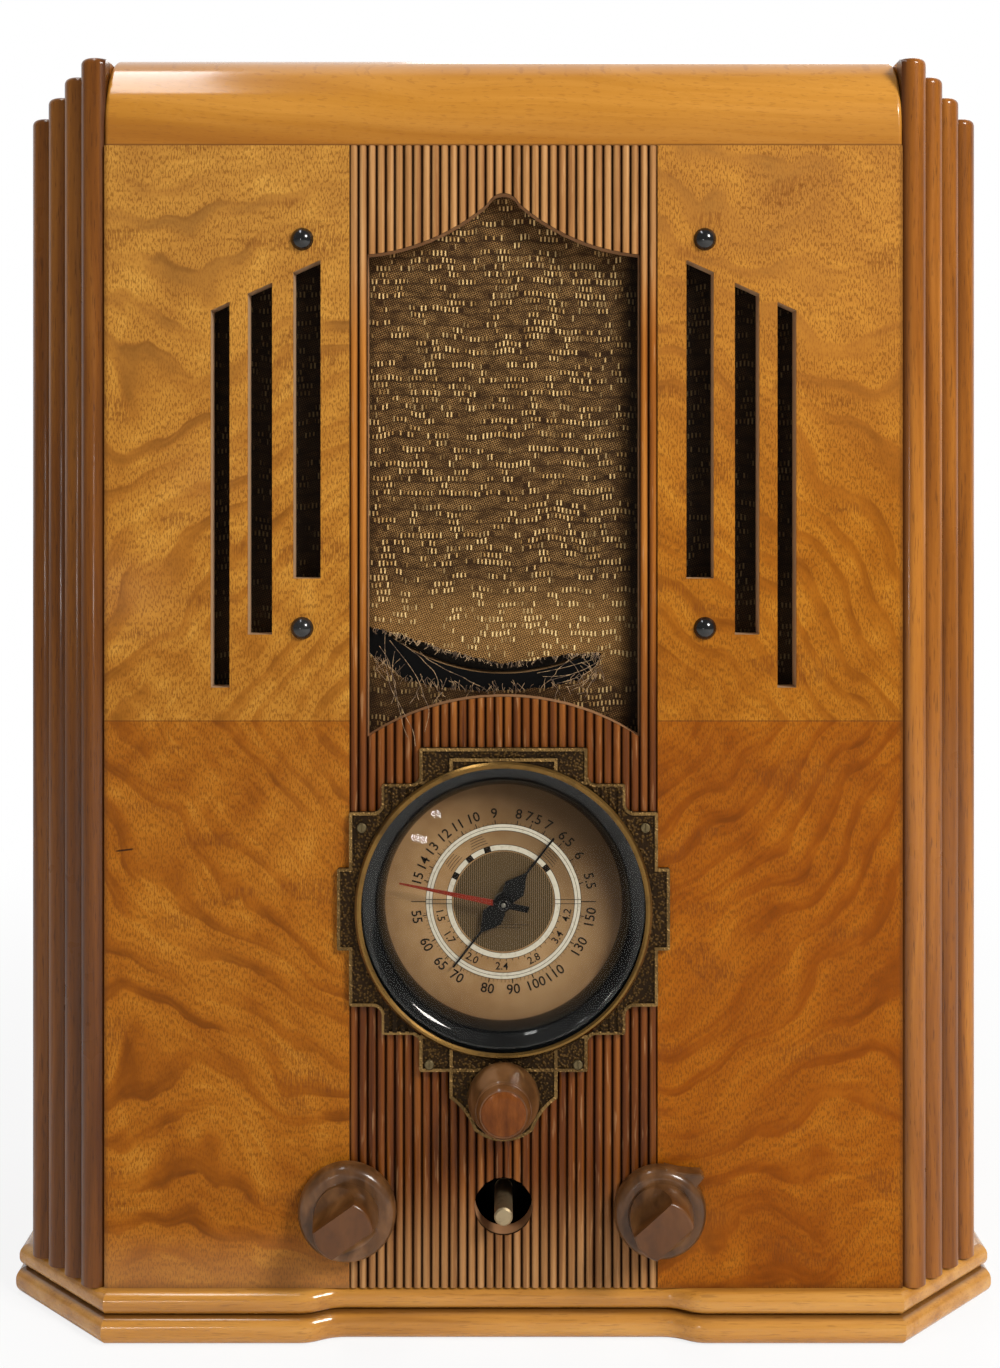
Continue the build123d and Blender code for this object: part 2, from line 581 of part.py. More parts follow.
# Dial: brass bezel, domed glass, black cone-shaped mask, printed scale in a pan with a gear case
BEZEL_WALL = 1.5
BEZEL_HEIGHT = 4.4
GLASS_THICK = 1.6
GLASS_BULGE = 5.0
MASK_SHEET = 0.8
MASK_FLANGE = 1.2
SCALE_RADIUS = 46.2
SCALE_WINDOW_RADIUS = 42.2
SCALE_SETBACK = 9.6
SCALE_THICK = 0.8
SCALE_HOLE_RADIUS = 3.4
PAN_SHEET = 1.0
PAN_RIM_FRONT = 5.0
PAN_FLANGE_RADIUS = 57.0
GEAR_CASE_RADIUS = 15.0
GEAR_CASE_LENGTH = 15.0
GEAR_CASE_WALL = 2.0
POINTER_TUBE_RADIUS = 2.2
POINTER_BORE_RADIUS = 1.0
ARBOR_RADIUS = 0.9
LAMP_X = 27.0
LAMP_RISE = 22.0
LAMP_SOCKET_RADIUS = 5.5
LAMP_SOCKET_LENGTH = 12.0
LAMP_BULB_RADIUS = 4.0

GLASS_RADIUS = DIAL_BEZEL_RADIUS - BEZEL_WALL - SEAT_GAP
SCALE_BACK = SCALE_SETBACK + SCALE_THICK
PAN_BACK = SCALE_BACK + PAN_SHEET
GEAR_CASE_BACK = PAN_BACK + GEAR_CASE_LENGTH


def dial_bezel():
    lip = BEZEL_WALL / 2
    outer, inner = DIAL_BEZEL_RADIUS, DIAL_BEZEL_RADIUS - BEZEL_WALL
    return turned([
        (outer, 0), (inner, 0), (inner, lip - BEZEL_HEIGHT), (inner - lip, lip - BEZEL_HEIGHT),
        (inner - lip, lip / 2 - BEZEL_HEIGHT), (inner, -BEZEL_HEIGHT), (outer - lip, -BEZEL_HEIGHT),
        (outer, lip - BEZEL_HEIGHT),
    ], 0, DIAL_Z)


def dial_glass():
    rim_front = -MASK_FLANGE - SEAT_GAP - GLASS_THICK
    dome_radius = (GLASS_RADIUS ** 2 + GLASS_BULGE ** 2) / (2 * GLASS_BULGE)
    centre_y = rim_front - GLASS_BULGE + dome_radius
    outer = Pos(0, centre_y, DIAL_Z) * Sphere(dome_radius)
    inner = Pos(0, centre_y + GLASS_THICK, DIAL_Z) * Sphere(dome_radius)
    window = rod(GLASS_RADIUS, rim_front - 2 * GLASS_BULGE, rim_front + GLASS_THICK, 0, DIAL_Z)
    return (window & outer) - inner


def dial_mask():
    return turned([
        (GLASS_RADIUS, -MASK_FLANGE), (GLASS_RADIUS, -SEAT_GAP),
        (DIAL_HOLE_RADIUS - SEAT_GAP, -SEAT_GAP),
        (SCALE_WINDOW_RADIUS + MASK_SHEET, SCALE_SETBACK - SEAT_GAP),
        (SCALE_WINDOW_RADIUS, SCALE_SETBACK - SEAT_GAP),
        (DIAL_HOLE_RADIUS - SEAT_GAP - MASK_SHEET, -MASK_FLANGE),
    ], 0, DIAL_Z)


def dial_housing():
    rim = SCALE_RADIUS + SEAT_GAP
    pan = turned([
        (0, SCALE_BACK), (rim, SCALE_BACK), (rim, PAN_RIM_FRONT + SEAT_GAP),
        (rim + PAN_SHEET, PAN_RIM_FRONT + SEAT_GAP), (rim + PAN_SHEET, PANEL_THICK),
        (PAN_FLANGE_RADIUS, PANEL_THICK), (PAN_FLANGE_RADIUS, PANEL_THICK + PAN_SHEET),
        (rim + PAN_SHEET, PANEL_THICK + PAN_SHEET), (rim + PAN_SHEET, PAN_BACK), (0, PAN_BACK),
    ], 0, DIAL_Z)
    flange_top = between(-PAN_FLANGE_RADIUS, PAN_FLANGE_RADIUS, PANEL_THICK - SEAT_GAP,
                         PAN_BACK - SEAT_GAP, BAFFLE_FOOT - OVERRUN, DIAL_Z + PAN_FLANGE_RADIUS)
    case = rod(GEAR_CASE_RADIUS, SCALE_BACK, GEAR_CASE_BACK, 0, DIAL_Z)
    cavity = rod(GEAR_CASE_RADIUS - GEAR_CASE_WALL, PAN_BACK + GEAR_CASE_WALL,
                 GEAR_CASE_BACK - GEAR_CASE_WALL, 0, DIAL_Z)
    housing = pan - flange_top + case - cavity
    housing -= rod(POINTER_TUBE_RADIUS + RUNNING_CLEARANCE, 0, GEAR_CASE_BACK - GEAR_CASE_WALL, 0, DIAL_Z)
    housing -= rod(BEARING_RADIUS, GEAR_CASE_BACK - GEAR_CASE_WALL - SEAT_GAP,
                   GEAR_CASE_BACK + OVERRUN, 0, DIAL_Z)
    for side in (-1, 1):
        housing -= rod(LAMP_BULB_RADIUS + SCREW_CLEARANCE, SCALE_BACK - SEAT_GAP, PAN_BACK + SEAT_GAP,
                       side * LAMP_X, DIAL_Z + LAMP_RISE)
    return housing


def dial_lamp(x, z):
    socket = rod(LAMP_SOCKET_RADIUS, PAN_BACK, PAN_BACK + LAMP_SOCKET_LENGTH, x, z)
    return socket + rod(LAMP_BULB_RADIUS, SCALE_BACK + SEAT_GAP, PAN_BACK + SEAT_GAP, x, z)


keep("dial_bezel", dial_bezel())
keep("dial_glass", dial_glass())
keep("dial_mask", dial_mask())
keep("dial_scale", rod(SCALE_RADIUS, SCALE_SETBACK, SCALE_BACK, 0, DIAL_Z)
     - rod(SCALE_HOLE_RADIUS, 0, PAN_BACK, 0, DIAL_Z))
keep("dial_housing", dial_housing())
keep("dial_lamps", dial_lamp(-LAMP_X, DIAL_Z + LAMP_RISE), dial_lamp(LAMP_X, DIAL_Z + LAMP_RISE))

# Pointer and quick hand: flat blades on a tube and on the arbor inside it
POINTER_ANGLE = 38.0
POINTER_REACH = 29.0
POINTER_WAIST = 13.0
POINTER_HALF_WIDTH = 4.0
POINTER_TIP_HALF = 0.35
POINTER_BLADE = 0.5
POINTER_FRONT = 7.4
HUB_RADIUS = 3.0
HAND_ANGLE = -78.4
HAND_REACH = 37.5
HAND_TAIL = 9.0
HAND_ROOT_HALF = 1.1
HAND_TIP_HALF = 0.3
HAND_BLADE = 0.4
HAND_FRONT = 4.6
HAND_HUB_RADIUS = 2.4
HAND_CAP_HEIGHT = 0.8


def flat_blade(points, y, thick, angle):
    """A blade cut from sheet, drawn pointing up and turned clockwise about the dial's centre."""
    blade = slab(make_face(Polyline(*points, close=True)), y, y + thick)
    return Pos(0, 0, DIAL_Z) * Rot(0, angle, 0) * blade


def dial_pointer():
    waist = POINTER_WAIST
    limb = [(POINTER_TIP_HALF, POINTER_REACH), (POINTER_TIP_HALF, waist),
            (POINTER_HALF_WIDTH, waist / 2)]
    right = limb + [(POINTER_HALF_WIDTH / 2, 0)] + [(x, -z) for x, z in reversed(limb)]
    points = right + [(-x, -z) for x, z in right]
    blade = flat_blade(points, POINTER_FRONT, POINTER_BLADE, POINTER_ANGLE)
    tube = rod(POINTER_TUBE_RADIUS, POINTER_FRONT, PAN_BACK + 2 * GEAR_CASE_WALL, 0, DIAL_Z)
    hub = rod(HUB_RADIUS, POINTER_FRONT - POINTER_BLADE, SCALE_SETBACK - SOFT_GAP, 0, DIAL_Z)
    return blade + hub + tube - rod(POINTER_BORE_RADIUS, 0, GEAR_CASE_BACK, 0, DIAL_Z)


def log_hand():
    points = [(HAND_ROOT_HALF, -HAND_TAIL), (HAND_ROOT_HALF, 0), (HAND_TIP_HALF, HAND_REACH),
              (-HAND_TIP_HALF, HAND_REACH), (-HAND_ROOT_HALF, 0), (-HAND_ROOT_HALF, -HAND_TAIL)]
    blade = flat_blade(points, HAND_FRONT, HAND_BLADE, HAND_ANGLE)
    hub = rod(HAND_HUB_RADIUS, HAND_FRONT - HAND_CAP_HEIGHT, HAND_FRONT + HAND_BLADE, 0, DIAL_Z)
    arbor = rod(ARBOR_RADIUS, HAND_FRONT, PAN_BACK + 3 * GEAR_CASE_WALL, 0, DIAL_Z)
    return blade + hub + arbor


keep("dial_pointer", dial_pointer())
keep("log_hand", log_hand())

# Escutcheon: a stepped brass plate round the bezel, with a tongue that carries the tuning knob
PLATE_THICK = 1.4
CROWN_HALF = 29.3
CROWN_RISE = 56.4
STEP_HALF = 42.5
STEP_RISE = 43.7
WING_HALF = 53.9
WING_RISE = 33.9
EAR_HALF = 58.1
EAR_RISE = 14.3
TONGUE_HALF = 18.8
TONGUE_FOOT = 65.4
TONGUE_LIP_HALF = 10.3
TONGUE_ROUND = 15.9
INNER_ROUND = 3.2
OUTER_ROUND = 0.8
RIM_WIDTH = 1.1
RIM_RISE = 0.6
COLUMN_RISE = 1.2
COLUMN_TOP = 52.9
CROWN_STEP = 0.7
RIB_COUNT = 4
RIB_MARGIN_SHARE = 0.6
RIB_HALF = 0.8
RIB_RISE = 0.8
TONGUE_HOLE_RADIUS = 4.6
SCREW_HEAD_RADIUS = 1.7
SCREW_HEAD_HEIGHT = 0.9
SCREW_SLOT_HALF = 0.25


def plate_outline():
    low = -TUNING_DROP - math.sqrt(TONGUE_ROUND ** 2 - TONGUE_LIP_HALF ** 2)
    hollow_x = (TONGUE_HALF + TONGUE_LIP_HALF) / 2 - (TONGUE_HALF - TONGUE_LIP_HALF) / 6
    hollow_z = (low - TONGUE_FOOT) / 2
    right = [(0, CROWN_RISE), (CROWN_HALF, CROWN_RISE), (CROWN_HALF, STEP_RISE),
             (STEP_HALF, STEP_RISE), (STEP_HALF, WING_RISE), (WING_HALF, WING_RISE),
             (WING_HALF, EAR_RISE), (EAR_HALF, EAR_RISE), (EAR_HALF, -EAR_RISE),
             (WING_HALF, -EAR_RISE), (WING_HALF, -WING_RISE), (STEP_HALF, -WING_RISE),
             (STEP_HALF, -STEP_RISE), (CROWN_HALF, -STEP_RISE), (CROWN_HALF, -CROWN_RISE),
             (TONGUE_HALF, -CROWN_RISE), (TONGUE_HALF, -TONGUE_FOOT)]
    edges = list(Polyline(*right).edges()) + list(Polyline(*[(-x, z) for x, z in right]).edges())
    for side in (-1, 1):
        edges.append(ThreePointArc((side * TONGUE_HALF, -TONGUE_FOOT), (side * hollow_x, hollow_z),
                                   (side * TONGUE_LIP_HALF, low)))
    edges.append(ThreePointArc((-TONGUE_LIP_HALF, low), (0, -TUNING_DROP - TONGUE_ROUND),
                               (TONGUE_LIP_HALF, low)))
    face = make_face(edges)
    inner = [(CROWN_HALF, STEP_RISE), (STEP_HALF, WING_RISE)]
    places = [(x * sx, z * sz) for x, z in inner for sx in (-1, 1) for sz in (-1, 1)]
    hollows = [v for v in face.vertices()
               if any(abs(v.X - x) < SEAT_GAP and abs(v.Y - z) < SEAT_GAP for x, z in places)]
    face = fillet(hollows, INNER_ROUND)
    outer = [(CROWN_HALF, CROWN_RISE), (STEP_HALF, STEP_RISE), (WING_HALF, WING_RISE),
             (EAR_HALF, EAR_RISE)]
    places = [(x * sx, z * sz) for x, z in outer for sx in (-1, 1) for sz in (-1, 1)]
    corners = [v for v in face.vertices()
               if any(abs(v.X - x) < SEAT_GAP and abs(v.Y - z) < SEAT_GAP for x, z in places)]
    return fillet(corners, OUTER_ROUND)


def raised_rim(face, seat):
    """A narrow rim that stands up along the edge of a face."""
    return slab(face - offset(face, -RIM_WIDTH, kind=Kind.INTERSECTION), seat - RIM_RISE, seat, DIAL_Z)


def screw_seat(z):
    return -PLATE_THICK - (CROWN_STEP if z < DIAL_Z else 0)


def escutcheon():
    outline = plate_outline()
    plate = slab(outline, -PLATE_THICK, 0, DIAL_Z)
    plate += raised_rim(outline, -PLATE_THICK)
    crown_high = Pos(0, (CROWN_RISE + STEP_RISE) / 2) * Rectangle(2 * CROWN_HALF, CROWN_RISE - STEP_RISE)
    crown_low = Pos(0, -(CROWN_RISE + STEP_RISE) / 2) * Rectangle(2 * CROWN_HALF, CROWN_RISE - STEP_RISE)
    for tab in (crown_high, crown_low):
        plate += slab(outline & tab, -PLATE_THICK - CROWN_STEP, 0, DIAL_Z)
        plate += raised_rim(outline & tab, -PLATE_THICK - CROWN_STEP)
    column = Pos(0, (COLUMN_TOP - TONGUE_FOOT - TONGUE_ROUND) / 2) * Rectangle(
        2 * TONGUE_HALF, COLUMN_TOP + TONGUE_FOOT + TONGUE_ROUND)
    plate += slab(outline & column, -PLATE_THICK - COLUMN_RISE, 0, DIAL_Z)
    plate += raised_rim(outline & column, -PLATE_THICK - COLUMN_RISE)
    rib_room = STEP_HALF - CROWN_HALF
    for side in (-1, 1):
        for index in range(RIB_COUNT):
            x = side * (CROWN_HALF + rib_room * (index + 1) / (RIB_COUNT + RIB_MARGIN_SHARE))
            rib = Pos(x, 0) * Rectangle(2 * RIB_HALF, 2 * (STEP_RISE - RIB_HALF))
            plate += slab(rib, -PLATE_THICK - RIB_RISE, 0, DIAL_Z)
    reach = PLATE_THICK + COLUMN_RISE + OVERRUN
    plate -= rod(DIAL_BEZEL_RADIUS + SEAT_GAP, -reach, OVERRUN, 0, DIAL_Z)
    plate -= rod(TONGUE_HOLE_RADIUS, -reach, OVERRUN, 0, TUNING_Z)
    for x, z in escutcheon_screw_places():
        plate -= rod(SCREW_RADIUS + SCREW_CLEARANCE, -reach, OVERRUN, x, z)
        plate -= rod(SCREW_HEAD_RADIUS + SCREW_CLEARANCE, -reach, screw_seat(z), x, z)
    return plate


def escutcheon_screw(x, z):
    seat = screw_seat(z)
    head = rod(SCREW_HEAD_RADIUS, seat - SCREW_HEAD_HEIGHT, seat, x, z)
    head = fillet(head.edges().filter_by(GeomType.CIRCLE).sort_by(Axis.Y)[0], SCREW_HEAD_HEIGHT / 2)
    groove = between(x - SCREW_SLOT_HALF, x + SCREW_SLOT_HALF, seat - 2 * SCREW_HEAD_HEIGHT,
                     seat - SCREW_HEAD_HEIGHT / 2, z - SCREW_HEAD_RADIUS, z + SCREW_HEAD_RADIUS)
    return head - groove + rod(SCREW_RADIUS, seat - SCREW_HEAD_HEIGHT / 4, SCREW_DEPTH, x, z)


keep("escutcheon", escutcheon())
keep("escutcheon_screws", *[escutcheon_screw(x, z) for x, z in escutcheon_screw_places()])

# Friction drive: the knob's two washers pinch the rim of a large disc on the condenser's shaft
DISC_GAP = 0.7
DISC_THICK = 1.0
DISC_FRONT = GEAR_CASE_BACK + 3.0
WASHER_RADIUS = 6.6
WASHER_THICK = 1.0
WASHER_GAP = 0.3
DISC_RADIUS = TUNING_DROP - SHAFT_RADIUS - DISC_GAP
DISC_HOLES = 5
DISC_HOLE_RADIUS = 11.0
DISC_HOLE_CIRCLE = 36.0
DISC_HUB_RADIUS = 7.0
DISC_HUB_LENGTH = 3.0


def drive_disc():
    disc = rod(DISC_RADIUS, DISC_FRONT, DISC_FRONT + DISC_THICK, 0, DIAL_Z)
    disc += rod(DISC_HUB_RADIUS, DISC_FRONT, DISC_FRONT + DISC_HUB_LENGTH, 0, DIAL_Z)
    for index in range(DISC_HOLES):
        angle = math.radians(360 / DISC_HOLES * index)
        disc -= rod(DISC_HOLE_RADIUS, 0, DISC_FRONT + OVERRUN, DISC_HOLE_CIRCLE * math.sin(angle),
                    DIAL_Z + DISC_HOLE_CIRCLE * math.cos(angle))
    return disc - rod(SHAFT_RADIUS, 0, DISC_FRONT + 2 * DISC_HUB_LENGTH, 0, DIAL_Z)


keep("drive_disc", drive_disc())

# Tuning condenser: interleaved plates in a frame whose cheeks stand on the chassis
CHEEK_FRONT = DISC_FRONT + 5.0
CHEEK_THICK = 2.0
CONDENSER_LENGTH = 54.0
CONDENSER_HALF = 25.0
CHEEK_TOP_RISE = 24.0
FLOOR_DROP = 27.0
FOOT_LENGTH = 9.0
CHEEK_WINDOW_RADIUS = 11.0
ROTOR_RADIUS = 20.0
PLATE_SHEET = 0.6
PLATE_PITCH = 3.0
ROTOR_PLATES = 6
GANGS = 2
STATOR_REACH = 23.0
STATOR_CORE_RADIUS = 6.5
STATOR_EDGE = 1.5
TIE_RADIUS = 1.4
ROTOR_HUB_RADIUS = 4.6
MESH_ANGLE = -49.8
SHAFT_TAIL = 2.0

CHEEK_BACK = CHEEK_FRONT + CONDENSER_LENGTH
GANG_LENGTH = (ROTOR_PLATES - 1) * PLATE_PITCH + PLATE_SHEET
GANG_SPACE = (CONDENSER_LENGTH - CHEEK_THICK - GANGS * GANG_LENGTH) / (GANGS + 1)


def gang_fronts():
    for gang in range(GANGS):
        yield CHEEK_FRONT + CHEEK_THICK + GANG_SPACE + gang * (GANG_LENGTH + GANG_SPACE)


def condenser_frame():
    floor_z = DIAL_Z - FLOOR_DROP
    frame = between(-CONDENSER_HALF, CONDENSER_HALF, CHEEK_FRONT, CHEEK_BACK + CHEEK_THICK,
                    floor_z - CHEEK_THICK, floor_z)
    for y, foot_way in ((CHEEK_FRONT, 1), (CHEEK_BACK, -1)):
        frame += between(-CONDENSER_HALF, CONDENSER_HALF, y, y + CHEEK_THICK,
                         CHASSIS_TOP, DIAL_Z + CHEEK_TOP_RISE)
        foot_end = y + foot_way * FOOT_LENGTH
        frame += between(-CONDENSER_HALF, CONDENSER_HALF, min(y, foot_end), max(y, foot_end),
                         CHASSIS_TOP, CHASSIS_TOP + CHEEK_THICK)
    window_z = (CHASSIS_TOP + floor_z) / 2
    frame -= rod(CHEEK_WINDOW_RADIUS, CHEEK_BACK - OVERRUN, CHEEK_BACK + 2 * OVERRUN, 0, window_z)
    frame -= rod(BEARING_RADIUS, 0, CHEEK_BACK + 2 * OVERRUN, 0, DIAL_Z)
    return frame - rod(BEARING_RADIUS, 0, CHEEK_FRONT + 2 * OVERRUN, 0, TUNING_Z)


def condenser_stator():
    low = DIAL_Z - STATOR_REACH
    tie_z = low + TIE_RADIUS
    ties = [(side * (STATOR_REACH - TIE_RADIUS), tie_z) for side in (-1, 1)]
    stator = rod(TIE_RADIUS, CHEEK_FRONT + CHEEK_THICK, CHEEK_BACK, *ties[0])
    stator = [stator, rod(TIE_RADIUS, CHEEK_FRONT + CHEEK_THICK, CHEEK_BACK, *ties[1])]
    for start in gang_fronts():
        for index in range(ROTOR_PLATES - 1):
            y = start + PLATE_PITCH * (index + 0.5)
            plate = between(-STATOR_REACH, STATOR_REACH, y, y + PLATE_SHEET, low, DIAL_Z - STATOR_EDGE)
            stator.append(plate - rod(STATOR_CORE_RADIUS, 0, BODY_DEPTH, 0, DIAL_Z))
    return stator[0].fuse(*stator[1:])


def condenser_rotor():
    shaft = rod(SHAFT_RADIUS, PAN_BACK + GEAR_CASE_LENGTH / 2, CHEEK_BACK + CHEEK_THICK + SHAFT_TAIL,
                0, DIAL_Z)
    pieces = []
    half_plane = between(-BODY_HALF, BODY_HALF, 0, BODY_DEPTH, -BODY_HALF, 0)
    for start in gang_fronts():
        pieces.append(rod(ROTOR_HUB_RADIUS, start - PLATE_SHEET, start + GANG_LENGTH + PLATE_SHEET,
                          0, DIAL_Z))
        for index in range(ROTOR_PLATES):
            y = start + PLATE_PITCH * index
            plate = rod(ROTOR_RADIUS, y, y + PLATE_SHEET) & half_plane
            pieces.append(Pos(0, 0, DIAL_Z) * Rot(0, MESH_ANGLE, 0) * plate)
    return shaft.fuse(*pieces)


keep("condenser_frame", condenser_frame())
keep("condenser_stator", condenser_stator())
keep("condenser_rotor", condenser_rotor())

# Knobs and their shafts
TUNING_KNOB_RADIUS = 12.5
TUNING_KNOB_FRONT = 21.5
TUNING_KNOB_BACK = 4.2
TUNING_FACE_RADIUS = 8.1
TUNING_SKIRT_SHARES = ((0.96, 0), (1, 0.14), (0.9, 0.46), (0.76, 0.7))
TUNING_NECK_SHARES = ((0.73, 0.75), (0.75, 0.8), (0.687, 0.96))
VOLUME_KNOB_RADIUS = 17.0
BAND_KNOB_RADIUS = 16.0
SIDE_KNOB_FRONT = 21.5
SIDE_KNOB_BACK = 0.8
SKIRT_HEIGHT = 7.5
SKIRT_ROUND = 3.4
GRIP_RADIUS = 11.4
GRIP_FRONT_RADIUS = 10.2
GRIP_THICK = 11.0
SCOOP_RADIUS = 15.0
GRIP_ROUND = 1.2
VOLUME_GRIP_ANGLE = 55.0
BAND_GRIP_ANGLE = 48.0
NIB_HOLLOW_SHARES = ((0.1, 0.99), (0.52, 0.9), (0.88, 0.88))
NIB_TIP_SHARES = ((0.95, 0.79), (0.72, 0.5), (0.1, 0.5))
NIB_THICK = 6.0
NIB_EDGE_ROUND = 0.7
TONE_SHAFT_FRONT = 9.0
TONE_TIP_CHAMFER = 0.6
CLIP_GROOVE_WIDTH = 0.8
CLIP_GROOVE_DEPTH = 0.5
POT_RADIUS = 14.0
SWITCH_RADIUS = 16.0
POT_DEPTH = 13.0
BUSHING_RADIUS = 4.7
BUSHING_LENGTH = 8.0
CONTROL_NUT_ACROSS = 12.7
CONTROL_NUT_HEIGHT = 2.4

APRON_BACK = CHASSIS_SETBACK + CHASSIS_SHEET


def tuning_knob():
    r, face = TUNING_KNOB_RADIUS, TUNING_FACE_RADIUS
    back, front = -TUNING_KNOB_BACK, -TUNING_KNOB_FRONT
    run = front - back
    skirt = [(r * across, back + run * along) for across, along in TUNING_SKIRT_SHARES]
    neck = [skirt[-1]] + [(r * across, back + run * along) for across, along in TUNING_NECK_SHARES]
    outline = [Line((0, back), skirt[0]), Spline(*skirt), Spline(*neck, (face, front)),
               Line((face, front), (0, front)), Line((0, front), (0, back))]
    knob = Pos(0, 0, TUNING_Z) * revolve(make_face(outline), Axis.Y)
    return knob - rod(SHAFT_RADIUS, front / 2, 0, 0, TUNING_Z)


def tuning_shaft():
    shaft = rod(SHAFT_RADIUS, -TUNING_KNOB_FRONT / 2, CHEEK_FRONT + CHEEK_THICK + SHAFT_TAIL, 0, TUNING_Z)
    for y in (DISC_FRONT - WASHER_GAP - WASHER_THICK, DISC_FRONT + DISC_THICK + WASHER_GAP):
        shaft += rod(WASHER_RADIUS, y, y + WASHER_THICK, 0, TUNING_Z)
    return shaft


def side_knob(radius, grip_angle):
    """A knob with a round skirt and a thumb bar left between two scooped sides, about its own axis."""
    back, front = -SIDE_KNOB_BACK, -SIDE_KNOB_FRONT
    skirt_front = back - SKIRT_HEIGHT
    skirt = rod(radius, skirt_front, back)
    skirt = fillet(skirt.edges().filter_by(GeomType.CIRCLE).sort_by(Axis.Y)[0], SKIRT_ROUND)
    skirt = fillet(skirt.edges().filter_by(GeomType.CIRCLE).sort_by(Axis.Y)[-1], SKIRT_ROUND / 2)
    grip = turned([(0, skirt_front + SKIRT_ROUND), (GRIP_RADIUS, skirt_front + SKIRT_ROUND),
                   (GRIP_RADIUS, skirt_front), (GRIP_FRONT_RADIUS, front), (0, front)])
    grip = fillet(grip.edges().filter_by(GeomType.CIRCLE).sort_by(Axis.Y)[0], GRIP_ROUND)
    for side in (-1, 1):
        scoop = Pos(side * (GRIP_THICK / 2 + SCOOP_RADIUS), front, 0) * Cylinder(SCOOP_RADIUS, 4 * radius)
        grip -= scoop & between(-2 * radius, 2 * radius, 2 * front, skirt_front, -2 * radius, 2 * radius)
    return Rot(0, grip_angle, 0) * (skirt + grip)


def knob_nib():
    """The pointed nib on the band knob's skirt."""
    root, sag, tip = [(x * BAND_KNOB_RADIUS, z * BAND_KNOB_RADIUS) for x, z in NIB_HOLLOW_SHARES]
    rest = [(x * BAND_KNOB_RADIUS, z * BAND_KNOB_RADIUS) for x, z in NIB_TIP_SHARES]
    outline = list(ThreePointArc(root, sag, tip).edges()) + list(Polyline(tip, *rest, root).edges())
    high = SIDE_KNOB_BACK + NIB_THICK
    nib = slab(make_face(outline), -high, NIB_THICK - high)
    front_edges = nib.edges().group_by(Axis.Y)[0]
    return fillet(front_edges, NIB_EDGE_ROUND)


def bore(x, z):
    return rod(SHAFT_RADIUS, -SIDE_KNOB_FRONT / 2, 0, x, z)


def control_shaft(x, front):
    return rod(SHAFT_RADIUS, front, APRON_BACK + POT_DEPTH - 2 * CHASSIS_SHEET, x, CONTROL_Z)


def clip_groove():
    """The groove in front of the bushing, for the clip that holds a control's shaft."""
    back = APRON_BACK - BUSHING_LENGTH
    ring = rod(2 * SHAFT_RADIUS, back - CLIP_GROOVE_WIDTH, back, 0, CONTROL_Z)
    return ring - rod(SHAFT_RADIUS - CLIP_GROOVE_DEPTH, 0, APRON_BACK, 0, CONTROL_Z)


def control_body(x, radius):
    """A control behind the chassis front, held by its bushing and nut."""
    body = rod(radius, APRON_BACK, APRON_BACK + POT_DEPTH, x, CONTROL_Z)
    body += rod(BUSHING_RADIUS, APRON_BACK - BUSHING_LENGTH, APRON_BACK, x, CONTROL_Z)
    body += hex_nut(CONTROL_NUT_ACROSS, CHASSIS_SETBACK - CONTROL_NUT_HEIGHT, CHASSIS_SETBACK, x, CONTROL_Z)
    return body - rod(BEARING_RADIUS, 0, APRON_BACK + POT_DEPTH - CHASSIS_SHEET, x, CONTROL_Z)


volume_place = Pos(-CONTROL_X, 0, CONTROL_Z)
band_place = Pos(CONTROL_X, 0, CONTROL_Z)
keep("tuning_knob", tuning_knob())
keep("tuning_shaft", tuning_shaft())
keep("volume_knob", volume_place * side_knob(VOLUME_KNOB_RADIUS, VOLUME_GRIP_ANGLE)
     - bore(-CONTROL_X, CONTROL_Z))
keep("band_knob", band_place * (side_knob(BAND_KNOB_RADIUS, BAND_GRIP_ANGLE) + knob_nib())
     - bore(CONTROL_X, CONTROL_Z))
keep("volume_shaft", control_shaft(-CONTROL_X, -SIDE_KNOB_FRONT / 2))
keep("band_shaft", control_shaft(CONTROL_X, -SIDE_KNOB_FRONT / 2))
tone_shaft = control_shaft(0, -TONE_SHAFT_FRONT)
tone_tip = tone_shaft.edges().filter_by(GeomType.CIRCLE).sort_by(Axis.Y)[0]
keep("tone_shaft", chamfer(tone_tip, TONE_TIP_CHAMFER) - clip_groove())
keep("volume_control", control_body(-CONTROL_X, POT_RADIUS))
keep("tone_control", control_body(0, POT_RADIUS))
keep("band_switch", control_body(CONTROL_X, SWITCH_RADIUS))

# Chassis pan on rubber pads, bolted down through the base
FLANGE_WIDTH = 16.0
PAD_RADIUS = 8.0
FOOT_NUT_ACROSS = 8.0
FOOT_NUT_HEIGHT = 4.0
GROMMET_HOLE_RADIUS = 6.0
GROMMET_X = 78.0
SOCKET_HOLE_RADIUS = 14.0


